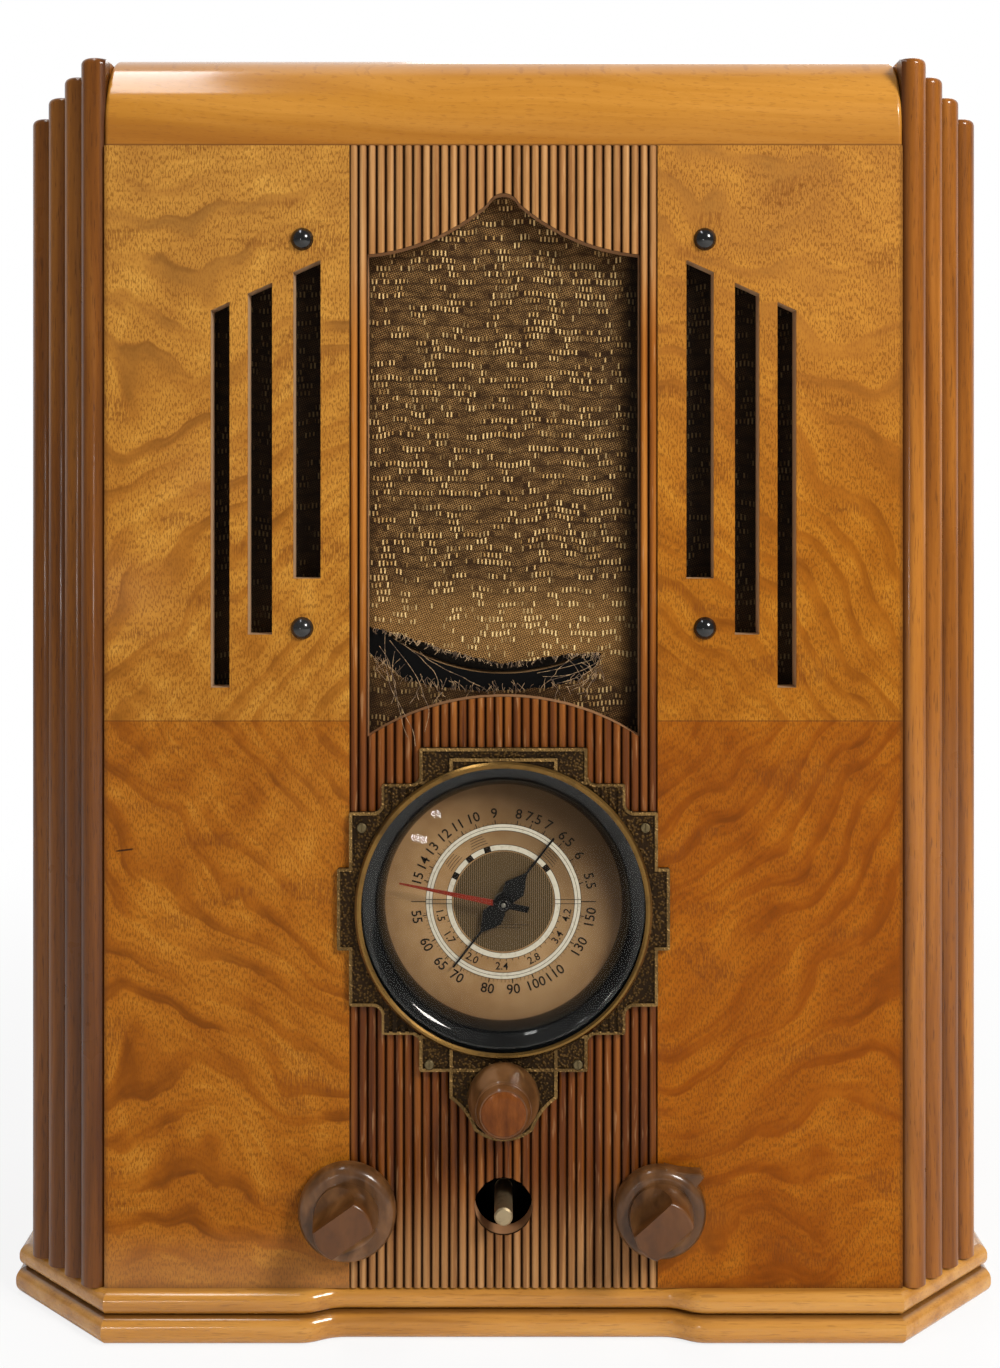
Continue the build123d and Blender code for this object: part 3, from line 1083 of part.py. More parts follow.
def chassis_pan():
    half, back = CHASSIS_WIDTH / 2, CHASSIS_SETBACK + CHASSIS_DEPTH
    inner = half - CHASSIS_SHEET
    pan = between(-half, half, CHASSIS_SETBACK, back, CHASSIS_FLOOR, CHASSIS_TOP)
    pan -= between(-inner, inner, APRON_BACK, back - CHASSIS_SHEET, CHASSIS_FLOOR + CHASSIS_SHEET,
                   CHASSIS_TOP - CHASSIS_SHEET)
    mouth = half - FLANGE_WIDTH - PAD_RADIUS
    pan -= between(-mouth, mouth, APRON_BACK, back - CHASSIS_SHEET, CHASSIS_FLOOR - OVERRUN,
                   CHASSIS_FLOOR + 2 * CHASSIS_SHEET)
    for x in (-CONTROL_X, 0, CONTROL_X):
        pan -= rod(BUSHING_RADIUS + SCREW_CLEARANCE, 0, APRON_BACK + OVERRUN, x, CONTROL_Z)
    for x, y in foot_bolt_places():
        pan -= post(FOOT_BOLT_RADIUS + SCREW_CLEARANCE, 0, CHASSIS_FLOOR + 2 * CHASSIS_SHEET, x, y)
    for x, y, _ in VALVES:
        pan -= post(SOCKET_HOLE_RADIUS, CHASSIS_TOP - 2 * CHASSIS_SHEET, CHASSIS_TOP + OVERRUN, x, y)
    return pan - rod(GROMMET_HOLE_RADIUS, back - OVERRUN, back + OVERRUN, GROMMET_X, CONTROL_Z)


def foot_bolt(x, y):
    head = post(FOOT_HEAD_RADIUS, SEAT_GAP, FOOT_HEAD_HEIGHT, x, y)
    shank_top = CHASSIS_FLOOR + CHASSIS_SHEET + FOOT_NUT_HEIGHT
    nut = Pos(x, y, CHASSIS_FLOOR + CHASSIS_SHEET) * extrude(
        RegularPolygon(FOOT_NUT_ACROSS / 2, 6, major_radius=False), FOOT_NUT_HEIGHT)
    return head + post(FOOT_BOLT_RADIUS, SEAT_GAP, shank_top, x, y) + nut


def rubber_pad(x, y):
    return (post(PAD_RADIUS, BASE_TOP, CHASSIS_FLOOR, x, y)
            - post(FOOT_BOLT_RADIUS + SCREW_CLEARANCE, 0, CHASSIS_TOP, x, y))


# Valves: sockets, bases, glass envelopes and three shields, at their places on the chassis
LARGE_BULB_RADIUS = 22.5
SMALL_BULB_RADIUS = 19.5
RECTIFIER_X_SHARE = -0.37
RECTIFIER_SETBACK_SHARE = 0.24
OUTPUT_VALVE_SETBACK_SHARE = 0.72
POWER_SETBACK = 40.0
POWER_STACK = 26.0
BELL_DEPTH = 17.0
SMALL_VALVE_X_SHARE = 0.21
SMALL_VALVE_SETBACK_SHARES = (0.2, 0.52, 0.84)
VALVE_GAP = 1.0

POWER_ROOM = POWER_SETBACK + POWER_STACK / 2 + BELL_DEPTH
VALVES = [
    (RECTIFIER_X_SHARE * CHASSIS_WIDTH, CHASSIS_SETBACK + RECTIFIER_SETBACK_SHARE * CHASSIS_DEPTH,
     LARGE_BULB_RADIUS),
    (-CONDENSER_HALF - LARGE_BULB_RADIUS - VALVE_GAP,
     CHASSIS_SETBACK + OUTPUT_VALVE_SETBACK_SHARE * (CHASSIS_DEPTH - POWER_ROOM), LARGE_BULB_RADIUS),
] + [(SMALL_VALVE_X_SHARE * CHASSIS_WIDTH, CHASSIS_SETBACK + share * CHASSIS_DEPTH, SMALL_BULB_RADIUS)
     for share in SMALL_VALVE_SETBACK_SHARES]
SOCKET_THICK = 3.0
SOCKET_RADIUS = 17.0
BASE_HEIGHT_PER_BULB = 1.45
BASE_SHARE = 0.78
ENVELOPE_PER_BULB = 4.7
SHIELD_WALL = 0.8
SHIELD_GAP = 0.6
SHIELD_PER_BULB = 3.9
GLASS_NECK_SHARE = 0.66
ENVELOPE_SHARES = (0.08, 0.36, 0.64, 0.9, 0.98)
CROWN_SHARE = 0.7
BASE_TAPER_SHARE = 0.94


def valve_socket(x, y):
    return post(SOCKET_RADIUS, CHASSIS_TOP, CHASSIS_TOP + SOCKET_THICK, x, y)


def valve_base(x, y, bulb):
    radius = bulb * BASE_SHARE
    low = CHASSIS_TOP + SOCKET_THICK
    high = low + bulb * BASE_HEIGHT_PER_BULB
    return turned_upright([(0, low), (radius * BASE_TAPER_SHARE, low), (radius, low + SOCKET_THICK),
                           (radius, high), (0, high)], x, y)


def valve_glass(x, y, bulb):
    """The stepped dome-and-shoulder envelope of such valves."""
    low = CHASSIS_TOP + SOCKET_THICK + bulb * BASE_HEIGHT_PER_BULB
    neck = bulb * GLASS_NECK_SHARE
    tall = bulb * (ENVELOPE_PER_BULB - BASE_HEIGHT_PER_BULB)
    foot, swell, waist, dome, crown = [low + tall * share for share in ENVELOPE_SHARES]
    waist_foot = (swell + waist) / 2
    side = [(0, low), (neck, low), (neck, foot), (bulb, swell), (bulb, waist_foot), (neck, waist),
            (neck, dome), (neck * CROWN_SHARE, crown), (0, low + tall)]
    edges = [Line(side[0], side[1]), Line(side[1], side[2]),
             Spline(*side[2:5], tangents=[(0, 1), (0, 1)]),
             Spline(side[4], side[5], side[6], tangents=[(0, 1), (0, 1)]),
             Spline(*side[6:], tangents=[(0, 1), (-1, 0)]), Line(side[-1], side[0])]
    return Pos(x, y, 0) * revolve(Plane.XZ * make_face(edges), Axis.Z)


def valve_shield(x, y, bulb):
    inner = bulb + SHIELD_GAP
    outer = inner + SHIELD_WALL
    low = CHASSIS_TOP + SOCKET_THICK
    high = low + bulb * SHIELD_PER_BULB
    lip = bulb * BASE_SHARE
    return turned_upright([(outer, low), (outer, high), (lip, high + SHIELD_WALL * 2),
                           (lip, high + SHIELD_WALL), (inner, high - SHIELD_WALL), (inner, low)], x, y)


keep("chassis_pan", chassis_pan())
keep("chassis_bolts", *[foot_bolt(x, y) for x, y in foot_bolt_places()])
keep("chassis_pads", *[rubber_pad(x, y) for x, y in foot_bolt_places()])
keep("valve_sockets", *[valve_socket(x, y) for x, y, _ in VALVES])
keep("valve_bases", *[valve_base(*valve) for valve in VALVES])
keep("valve_glass", *[valve_glass(*valve) for valve in VALVES])
keep("valve_shields", *[valve_shield(*valve) for valve in VALVES if valve[2] == SMALL_BULB_RADIUS])

# Power transformer, cans, terminal strip and grommet
POWER_HALF = 31.0
POWER_HEIGHT = 62.0
POWER_X = -74.0
BELL_MARGIN = 3.0
BELL_ROUND = 7.0
FILTER_RADIUS = 17.5
FILTER_HEIGHT = 88.0
FILTER_X = -8.0
FILTER_SETBACK = 60.0
FILTER_CRIMP = 2.0
IF_HALF = 17.0
IF_HEIGHT = 86.0
IF_X = 98.0
IF_ROUND = 4.0
IF_SETBACK_SHARES = (0.3, 0.6, 0.86)
STRIP_HALF = 21.0
STRIP_HEIGHT = 16.0
STRIP_THICK = 2.5
STRIP_X = -20.0
TERMINAL_RADIUS = 3.0
TERMINAL_HEIGHT = 4.0
TERMINAL_SHARES = (-0.6, 0, 0.6)
GROMMET_LIP = 2.0
GROMMET_BORE = 4.0


def power_transformer():
    middle = CHASSIS_SETBACK + CHASSIS_DEPTH - POWER_SETBACK
    core = between(POWER_X - POWER_HALF, POWER_X + POWER_HALF, middle - POWER_STACK / 2,
                   middle + POWER_STACK / 2, CHASSIS_TOP, CHASSIS_TOP + POWER_HEIGHT)
    for way in (-1, 1):
        face_y = middle + way * POWER_STACK / 2
        bell_y = face_y + way * BELL_DEPTH
        bell = between(POWER_X - POWER_HALF + BELL_MARGIN, POWER_X + POWER_HALF - BELL_MARGIN,
                       min(face_y, bell_y), max(face_y, bell_y), CHASSIS_TOP + BELL_MARGIN,
                       CHASSIS_TOP + POWER_HEIGHT - BELL_MARGIN)
        rim = bell.faces().sort_by(Axis.Y)[-1 if way > 0 else 0].edges()
        core += fillet(rim, BELL_ROUND)
    return core


def filter_can():
    y = CHASSIS_SETBACK + CHASSIS_DEPTH - FILTER_SETBACK
    high = CHASSIS_TOP + FILTER_HEIGHT
    return turned_upright([(0, CHASSIS_TOP), (FILTER_RADIUS, CHASSIS_TOP),
                           (FILTER_RADIUS, high - 2 * FILTER_CRIMP),
                           (FILTER_RADIUS - FILTER_CRIMP, high - FILTER_CRIMP),
                           (FILTER_RADIUS - FILTER_CRIMP, high),
                           (FILTER_RADIUS - 2 * FILTER_CRIMP, high - FILTER_CRIMP / 2),
                           (0, high - FILTER_CRIMP / 2)], FILTER_X, y)


def if_can(share):
    y = CHASSIS_SETBACK + CHASSIS_DEPTH * share
    can = between(IF_X - IF_HALF, IF_X + IF_HALF, y - IF_HALF, y + IF_HALF, CHASSIS_TOP,
                  CHASSIS_TOP + IF_HEIGHT)
    can = fillet(can.edges().filter_by(Axis.Z), IF_ROUND)
    return fillet(can.faces().sort_by(Axis.Z)[-1].edges(), IF_ROUND / 2)


def terminal_strip():
    back = CHASSIS_SETBACK + CHASSIS_DEPTH
    strip = between(STRIP_X - STRIP_HALF, STRIP_X + STRIP_HALF, back, back + STRIP_THICK,
                    CONTROL_Z - STRIP_HEIGHT / 2, CONTROL_Z + STRIP_HEIGHT / 2)
    for share in TERMINAL_SHARES:
        strip += rod(TERMINAL_RADIUS, back + STRIP_THICK, back + STRIP_THICK + TERMINAL_HEIGHT,
                     STRIP_X + share * STRIP_HALF, CONTROL_Z)
    return strip


def cord_grommet():
    back = CHASSIS_SETBACK + CHASSIS_DEPTH
    inside = back - CHASSIS_SHEET
    hole, lip = GROMMET_HOLE_RADIUS - SEAT_GAP, GROMMET_HOLE_RADIUS + GROMMET_LIP
    return turned([(GROMMET_BORE, inside - GROMMET_LIP), (lip, inside - GROMMET_LIP), (lip, inside),
                   (hole, inside), (hole, back), (lip, back), (lip, back + GROMMET_LIP),
                   (GROMMET_BORE, back + GROMMET_LIP)], GROMMET_X, CONTROL_Z)


keep("power_transformer", power_transformer())
keep("filter_can", filter_can())
keep("if_cans", *[if_can(share) for share in IF_SETBACK_SHARES])
keep("terminal_strip", terminal_strip())
keep("cord_grommet", cord_grommet())

os.makedirs("parts", exist_ok=True)
for name, solids in PIECES.items():
    placed = [Pos(0, FRONT_Y, 0) * solid for solid in solids]
    export_step(placed[0] if len(placed) == 1 else Compound(children=placed), f"parts/{name}.step")
print(len(PIECES), "sub-parts")
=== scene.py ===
import json
import math
import random

import bmesh
import bpy
from mathutils import Matrix, Vector, noise


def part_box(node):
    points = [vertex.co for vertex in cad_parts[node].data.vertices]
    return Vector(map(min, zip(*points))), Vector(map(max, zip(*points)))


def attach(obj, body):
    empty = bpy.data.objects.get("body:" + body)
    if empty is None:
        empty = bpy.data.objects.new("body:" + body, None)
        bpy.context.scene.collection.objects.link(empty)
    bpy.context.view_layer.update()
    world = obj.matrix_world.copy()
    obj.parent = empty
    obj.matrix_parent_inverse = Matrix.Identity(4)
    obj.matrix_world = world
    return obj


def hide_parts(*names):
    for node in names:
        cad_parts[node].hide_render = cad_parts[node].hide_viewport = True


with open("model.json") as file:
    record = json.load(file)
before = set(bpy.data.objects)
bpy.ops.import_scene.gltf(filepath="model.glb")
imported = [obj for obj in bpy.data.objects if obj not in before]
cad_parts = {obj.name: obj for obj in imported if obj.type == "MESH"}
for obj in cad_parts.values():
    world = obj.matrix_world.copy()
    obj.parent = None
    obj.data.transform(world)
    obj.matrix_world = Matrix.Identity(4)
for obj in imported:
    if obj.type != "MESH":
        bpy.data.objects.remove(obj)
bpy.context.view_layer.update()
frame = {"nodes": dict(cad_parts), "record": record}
nodes = frame["nodes"]
MM = 0.001

# Places read from the frame
FRONT_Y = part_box("front_panel_left")[0][1]
FACING_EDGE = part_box("front_panel_right")[1][0]
BASE_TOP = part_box("base_moulding_upper")[1][2]
BASE_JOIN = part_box("base_moulding_lower")[1][2]
PANEL_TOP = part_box("front_panel_left")[1][2]
REEDED_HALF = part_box("reeded_panel")[1][0]
DIAL_LOW, DIAL_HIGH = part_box("dial_bezel")
DIAL_Z = (DIAL_LOW[2] + DIAL_HIGH[2]) / 2
SCALE_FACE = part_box("dial_scale")[0][1]
PAN_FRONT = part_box("chassis_pan")[0][1]

# Places and sizes that the finishes follow
SEAM_Z = 216.5 * MM
TEAR_PALE_Z = 246.0 * MM
SCRATCH_X, SCRATCH_Z, SCRATCH_HALF = -132.6 * MM, 171.3 * MM, 3.6 * MM
STAVE_NOSE_OUT, STAVE_NOSE_RADIUS = -1.1 * MM, 5.42 * MM
RIM_LEVELS = (2.0 * MM, 2.7 * MM, 3.2 * MM)


class Wire:
    """A value, colour or shader on its way through a node tree."""

    def __init__(self, paint, socket):
        self.paint, self.socket = paint, socket

    def math(self, operation, *others):
        return self.paint.node("ShaderNodeMath", {"operation": operation}, (self,) + others)

    def __add__(self, other):
        return self.math("ADD", other)

    def __radd__(self, other):
        return self.math("ADD", other)

    def __sub__(self, other):
        return self.math("SUBTRACT", other)

    def __rsub__(self, other):
        return self.paint.node("ShaderNodeMath", {"operation": "SUBTRACT"}, (other, self))

    def __mul__(self, other):
        return self.math("MULTIPLY", other)

    def __rmul__(self, other):
        return self.math("MULTIPLY", other)

    def __truediv__(self, other):
        return self.math("DIVIDE", other)

    def __pow__(self, other):
        return self.math("POWER", other)

    def step(self, low, high):
        """0 below low, 1 above high, smooth between."""
        inputs = {"Value": self, "From Min": low, "From Max": high}
        return self.paint.node("ShaderNodeMapRange", {"interpolation_type": "SMOOTHSTEP"}, inputs)


class Paint:
    """The node tree of a new material, or of a world that is given."""

    def __init__(self, name=None, world=None):
        self.owner = world or bpy.data.materials.new(name)
        self.owner.use_nodes = True
        self.tree = self.owner.node_tree
        self.tree.nodes.clear()
        self.point = self.node("ShaderNodeTexCoord", output="Object")
        self.x, self.y, self.z = (self.node("ShaderNodeSeparateXYZ", {}, (self.point,), output=i)
                                  for i in range(3))

    def node(self, kind, settings=None, inputs=(), output=0):
        """Adds a node: its settings first, then its inputs by place or by name. Gives one output."""
        made = self.tree.nodes.new(kind)
        for key, value in (settings or {}).items():
            if key == "stops":
                self.set_stops(made.color_ramp, value)
            else:
                setattr(made, key, value)
        pairs = inputs.items() if isinstance(inputs, dict) else enumerate(inputs)
        for key, value in pairs:
            if isinstance(value, Wire):
                self.tree.links.new(value.socket, made.inputs[key])
            elif value is not None:
                made.inputs[key].default_value = value
        return Wire(self, made.outputs[output])

    @staticmethod
    def set_stops(ramp, stops):
        while len(ramp.elements) < len(stops):
            ramp.elements.new(1.0)
        for element, (place, colour) in zip(ramp.elements, stops):
            element.position = place
            element.color = (*colour, 1)

    def ramp(self, value, *stops):
        return self.node("ShaderNodeValToRGB", {"stops": stops}, (value,))

    def blend(self, factor, first, second, way="MIX"):
        first, second = (c if isinstance(c, Wire) else (*c, 1) for c in (first, second))
        return self.node("ShaderNodeMix", {"data_type": "RGBA", "blend_type": way},
                         {0: factor, 6: first, 7: second}, output=2)

    def vector(self, x, y, z):
        return self.node("ShaderNodeCombineXYZ", {}, (x, y, z))

    def stretched(self, sizes):
        """The object's own coordinates, each times its own size."""
        return self.node("ShaderNodeVectorMath", {"operation": "MULTIPLY"}, (self.point, sizes))

    def noise(self, point, scale, detail=3.0, rough=0.5):
        inputs = {"Vector": point, "Scale": scale, "Detail": detail, "Roughness": rough}
        return self.node("ShaderNodeTexNoise", {}, inputs)

    def cells(self, point, scale, spread):
        """Round dents side by side: the distance from each one's middle."""
        inputs = {"Vector": point, "Scale": scale, "Randomness": spread}
        return self.node("ShaderNodeTexVoronoi", {"feature": "SMOOTH_F1"}, inputs, output="Distance")

    def bump(self, height, distance, strength=1.0):
        inputs = {"Height": height, "Distance": distance, "Strength": strength}
        return self.node("ShaderNodeBump", {}, inputs)

    def surface(self, **inputs):
        """The shader itself, by its sockets' names with _ for each space."""
        named = {key.replace("_", " "): value for key, value in inputs.items()}
        return self.node("ShaderNodeBsdfPrincipled", {}, named)

    def done(self, shader):
        """Links the finished shader to its output, and gives back the material or the world."""
        is_world = isinstance(self.owner, bpy.types.World)
        output = self.tree.nodes.new("ShaderNodeOutputWorld" if is_world else "ShaderNodeOutputMaterial")
        self.tree.links.new(shader.socket, output.inputs[0])
        return self.owner


def rgb(*screen):
    """A colour as a screen shows it, from 0 to 255, turned to light."""
    return tuple(((c / 255 + 0.055) / 1.055) ** 2.4 if c > 10 else c / 3294.6 for c in screen)


# Wood finishes. Each works on the object's own coordinates, in metres.
def varnished(p, colour, height, rough, coat, depth=0.00012, shine=0.06):
    """Stained wood under varnish, unevenly dulled, with fine relief."""
    wear = p.noise(p.point, 24.0, 4.0, 0.6)
    normal = p.bump(height, depth, 0.5)
    return p.done(p.surface(Base_Color=colour, Roughness=wear * 0.2 + rough, Normal=normal,
                            Coat_Weight=coat, Coat_Roughness=0.13, Specular_IOR_Level=shine))


def specks(p, wide, tall, seed, low, high):
    """Short upright flecks of the pores, wide and tall in metres. They fade in from low to high."""
    point = p.vector(p.x * (1 / wide), p.y * (1 / wide) + seed, p.z * (1 / tall))
    return p.noise(point, 1.0, 2.0, 0.5).step(low, high)


def rail_veneer():
    """Golden straight-grained veneer bent over the rail, darker towards its foot."""
    p = Paint("rail_veneer")
    sway = p.noise(p.stretched((5.0, 9.0, 9.0)), 1.0, 2.0)
    across = p.z - p.y * 0.7 + sway * 0.022 + p.x * 0.05
    rings = p.noise(p.vector(across * 190.0, p.x * 4.0, 3.0), 1.0, 5.0, 0.62)
    broad = p.noise(p.vector(across * 45.0, p.x * 3.0, 9.0), 1.0, 2.0)
    tone = p.ramp(rings * 0.5 + broad * 0.5, (0.34, rgb(146, 90, 20)), (0.5, rgb(172, 114, 34)),
                  (0.66, rgb(192, 134, 54)))
    foot = 1.0 - p.z.step(PANEL_TOP + 1.0 * MM, PANEL_TOP + 16.0 * MM)
    tone = p.blend(foot * 0.5, tone, rgb(140, 84, 22))
    dash = p.noise(p.vector(across * 2200.0, p.x * 260.0, 0.0), 1.0, 2.0).step(0.56, 0.68)
    tone = p.blend(dash * 0.3, tone, rgb(126, 74, 22))
    join = 1.0 - (p.z - PANEL_TOP).math("ABSOLUTE").step(0.2 * MM, 0.8 * MM)
    tone = p.blend(join * 0.7, tone, rgb(88, 50, 18))
    return varnished(p, tone, 1.0 - dash, rough=0.2, coat=0.8, depth=0.00004)


def facing_veneer():
    """Two sheets of figured veneer a side, matched end to end at the seam, redder on the right."""
    p = Paint("facing_veneer")
    out = p.x.math("ABSOLUTE") - REEDED_HALF
    right = p.x.step(-1.0 * MM, 1.0 * MM)
    rise = p.z - SEAM_Z
    below = 1.0 - rise.step(-0.2 * MM, 0.2 * MM)
    away = rise.math("ABSOLUTE")
    seed = right * 2.3 + below * 0.05
    sway = p.noise(p.vector(out * 15.0, away * 11.0, right * 3.0 + 1.0), 1.0, 2.0, 0.5) - 0.5
    slope = 1.0 - away.step(15.0 * MM, 170.0 * MM) * 0.8
    across = away + out * slope + sway * 0.07
    along = out - away * slope
    # Ribbons of porous golden wood, each passing into a smoother brown band that ends in a dark line
    ribbon = across * 80.0 + p.noise(p.vector(out * 36.0, away * 28.0, seed), 1.0, 3.0) * 1.5
    place = ribbon.math("FRACT")
    shown = p.noise(p.vector(across * 26.0, along * 16.0, seed + 3.0), 1.0, 2.0).step(0.38, 0.62)
    band = place.step(0.4, 0.8) * (1.0 - place.step(0.9, 1.0)) * shown
    line = place.step(0.82, 0.92) * (1.0 - place.step(0.92, 0.99)) * shown
    fine = p.noise(p.vector(across * 420.0, along * 46.0, seed + 5.0), 1.0, 3.0, 0.6)
    cloudy = p.noise(p.vector(along * 60.0, across * 40.0, seed + 9.0), 1.0, 3.0, 0.5)
    figure = band * (0.24 - right * 0.08) + fine * 0.4 + cloudy * 0.55
    upper = p.ramp(figure, (0.32, rgb(194, 138, 54)), (0.44, rgb(177, 119, 40)),
                   (0.6, rgb(157, 99, 29)), (0.78, rgb(130, 78, 19)))
    lower = p.ramp(figure, (0.32, rgb(178, 116, 36)), (0.44, rgb(162, 98, 24)),
                   (0.6, rgb(142, 79, 15)), (0.78, rgb(114, 60, 10)))
    tone = p.blend(below, upper, lower)
    tone = p.blend(right, tone, (0.86, 0.72, 0.44), "MULTIPLY")
    gold = p.noise(p.vector(out * 9.0, p.z * 8.0, right * 7.0), 1.0, 2.0).step(0.5, 0.7)
    tone = p.blend(gold * 0.16, tone, rgb(198, 136, 50))
    tone = p.blend(rise.step(50.0 * MM, 200.0 * MM) * 0.2, tone, rgb(186, 150, 84))
    pores = specks(p, 0.5 * MM, 1.6 * MM, 0.0, 0.49, 0.58)
    dark_grain_and_shade = pores * (0.56 - band * 0.36)
    tone = p.blend(dark_grain_and_shade, tone, rgb(98, 54, 12))
    strokes = p.noise(p.vector(out * 30.0, away * 75.0, right * 5.0 + 2.0), 1.0, 1.0).step(0.6, 0.68)
    long_pores = specks(p, 0.5 * MM, 5.0 * MM, 9.0, 0.46, 0.56)
    tone = p.blend(strokes * long_pores * 0.5, tone, rgb(104, 54, 18))
    tone = p.blend(line * cloudy.step(0.4, 0.6) * (0.3 - right * 0.12), tone, rgb(98, 54, 16))
    tone = p.blend((1.0 - away.step(0.0, 70.0 * MM)) * 0.12, tone, rgb(112, 62, 12))
    seam = 1.0 - away.step(0.1 * MM, 0.4 * MM)
    tone = p.blend(seam * 0.6, tone, rgb(92, 52, 18))
    width = FACING_EDGE - REEDED_HALF
    edge = out.step(width - 1.8 * MM, width - 0.2 * MM)
    foot = 1.0 - p.z.step(BASE_TOP, BASE_TOP + 2.5 * MM)
    tone = p.blend(edge * 0.5 + foot * 0.4, tone, rgb(84, 50, 20))
    dusty = 1.0 - p.z.step(BASE_TOP + 2.0 * MM, BASE_TOP + 24.0 * MM)
    tone = p.blend(dusty * (1.0 - right) * 0.28, tone, rgb(176, 136, 92))
    inside = p.y.step(FRONT_Y + 0.7 * MM, FRONT_Y + 1.0 * MM)
    tone = p.blend(inside, tone, rgb(186, 152, 118))
    scratch = scratch_mark(p)
    tone = p.blend(scratch, tone, rgb(34, 20, 12))
    height = 1.0 - dark_grain_and_shade - seam - scratch
    return varnished(p, tone, height, rough=0.32, coat=0.02)


def scratch_mark(p):
    """One short dark scratch near the left facing's outer edge."""
    dx = p.x - SCRATCH_X
    dz = p.z - SCRATCH_Z - dx * 0.12
    near = 1.0 - (dz * dz).step(0.0, (0.45 * MM) ** 2)
    short = 1.0 - (dx * dx).step((SCRATCH_HALF * 0.6) ** 2, SCRATCH_HALF ** 2)
    return near * short * 0.9


def reeded_walnut():
    """Stained reeds: worn and pinkish at the top and foot, painted shade between them, raw where cut."""
    p = Paint("reeded_walnut")
    depth = p.y.step(FRONT_Y + 0.05 * MM, FRONT_Y + 0.8 * MM)
    each = p.noise(p.vector(p.x * 330.0, 0.0, p.z * 5.0), 1.0, 1.0)
    streak = p.noise(p.stretched((700.0, 100.0, 16.0)), 1.0, 4.0, 0.6)
    grain = each * 0.5 + streak * 0.5
    middle = p.ramp(grain, (0.33, rgb(106, 54, 16)), (0.5, rgb(150, 88, 28)), (0.68, rgb(182, 118, 50)))
    ends = p.ramp(grain, (0.35, rgb(130, 86, 48)), (0.52, rgb(170, 124, 76)), (0.7, rgb(198, 154, 106)))
    lower = p.ramp(grain, (0.33, rgb(62, 28, 8)), (0.5, rgb(104, 54, 16)), (0.68, rgb(134, 78, 28)))
    tone = p.blend(1.0 - p.z.step(190.0 * MM, 290.0 * MM), middle, lower)
    high = p.z.step(345.0 * MM, 392.0 * MM)
    low = 1.0 - p.z.step(20.0 * MM, 62.0 * MM)
    tone = p.blend(high * 0.85 + low * 0.8, tone, ends)
    # Painted shade in the valleys between the reeds
    tone = p.blend(depth, tone, rgb(34, 15, 5))
    worn = p.noise(p.stretched((900.0, 300.0, 60.0)), 1.0, 3.0).step(0.58, 0.7) * (1.0 - depth)
    tone = p.blend(worn * 0.25, tone, rgb(206, 160, 112))
    cut = p.y.step(FRONT_Y + 1.3 * MM, FRONT_Y + 1.7 * MM)
    tone = p.blend(cut, tone, rgb(164, 120, 84))
    return varnished(p, tone, streak, rough=0.34, coat=0.16, depth=0.00006)


def long_grain(name, stops, axis, cut=0.5, rough=0.32, coat=0.5, painted_shade=None, dark_grain_and_shade=(60, 30, 12)):
    """Straight-grained walnut that runs along one axis: "x", "y" or "z"."""
    p = Paint(name)
    axes = {"x": p.x, "y": p.y, "z": p.z}
    run = axes.pop(axis)
    a, b = axes.values()
    sway = p.noise(p.vector(run * 6.0, a * 8.0, b * 8.0), 1.0, 2.0)
    rings = p.noise(p.vector(a * 150.0 + sway * 3.0, b * 150.0, run * 5.0), 1.0, 4.0, 0.6)
    broad = p.noise(p.vector(a * 30.0, b * 30.0, run * 4.0), 1.0, 2.0)
    tone = p.ramp(rings * 0.6 + broad * 0.4, *[(at, rgb(*colour)) for at, colour in stops])
    fine = p.noise(p.vector(a * 1900.0, b * 1900.0, run * 120.0), 1.0, 2.0, 0.6)
    grain = fine.step(0.56, 0.7)
    tone = p.blend(grain * cut, tone, rgb(*dark_grain_and_shade))
    # Painted shade from the given mask, in the same dark colour as the grain
    if painted_shade:
        tone = p.blend(painted_shade(p), tone, rgb(*dark_grain_and_shade))
    return varnished(p, tone, 1.0 - grain, rough=rough, coat=coat, depth=0.00006)


def stave_shade(p):
    """Painted shade: dark in the grooves between the fluted corners' staves, and darker over the left-hand
    staves, away from the light.
    """
    proud = (p.x.math("ABSOLUTE") - FACING_EDGE - p.y + FRONT_Y) * (1 / math.sqrt(2))
    # Painted shade in the grooves between staves, and below it over the left-hand staves
    painted_shade = (1.0 - proud.step(STAVE_NOSE_OUT, STAVE_NOSE_OUT + 0.8 * STAVE_NOSE_RADIUS)) * 0.85
    return painted_shade.math("MAXIMUM", (1.0 - p.x.step(-1.0 * MM, 1.0 * MM)) * 0.34)


def base_shade_and_seam(p):
    """A dark join between the base's two boards, widened by painted shade under the upper board's nose, and
    a faint dark line at its top.
    """
    near = (p.z - BASE_JOIN).math("ABSOLUTE")
    top = p.z.step(BASE_TOP - 0.4 * MM, BASE_TOP)
    # Painted shade under the upper board's nose, around the join of the two boards
    return (1.0 - near.step(0.3 * MM, 1.6 * MM)) * 0.75 + top * 0.2


def knob_wood():
    """Turned knobs: brown with soft figure, darker and redder in front, with patches of grime."""
    p = Paint("knob_wood")
    sway = p.noise(p.stretched((60.0, 60.0, 60.0)), 1.0, 2.0)
    rings = p.noise(p.vector(p.x * 150.0 + sway * 2.0, p.y * 90.0, p.z * 50.0), 1.0, 3.0, 0.5)
    tone = p.ramp(rings, (0.3, rgb(62, 38, 18)), (0.48, rgb(88, 57, 30)), (0.6, rgb(106, 71, 40)),
                  (0.74, rgb(126, 90, 60)))
    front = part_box("volume_knob")[0][1]
    proud = 1.0 - p.y.step(front + 0.2 * MM, front + 5.0 * MM)
    tone = p.blend(proud * 0.6, tone, rgb(94, 54, 20))
    grime = p.noise(p.point, 140.0, 3.0).step(0.5, 0.68)
    tone = p.blend(grime * 0.3, tone, rgb(48, 30, 18))
    fine = p.noise(p.stretched((1500.0, 500.0, 350.0)), 1.0, 2.0)
    return varnished(p, tone, fine, rough=0.26, coat=0.5, depth=0.00005, shine=0.12)


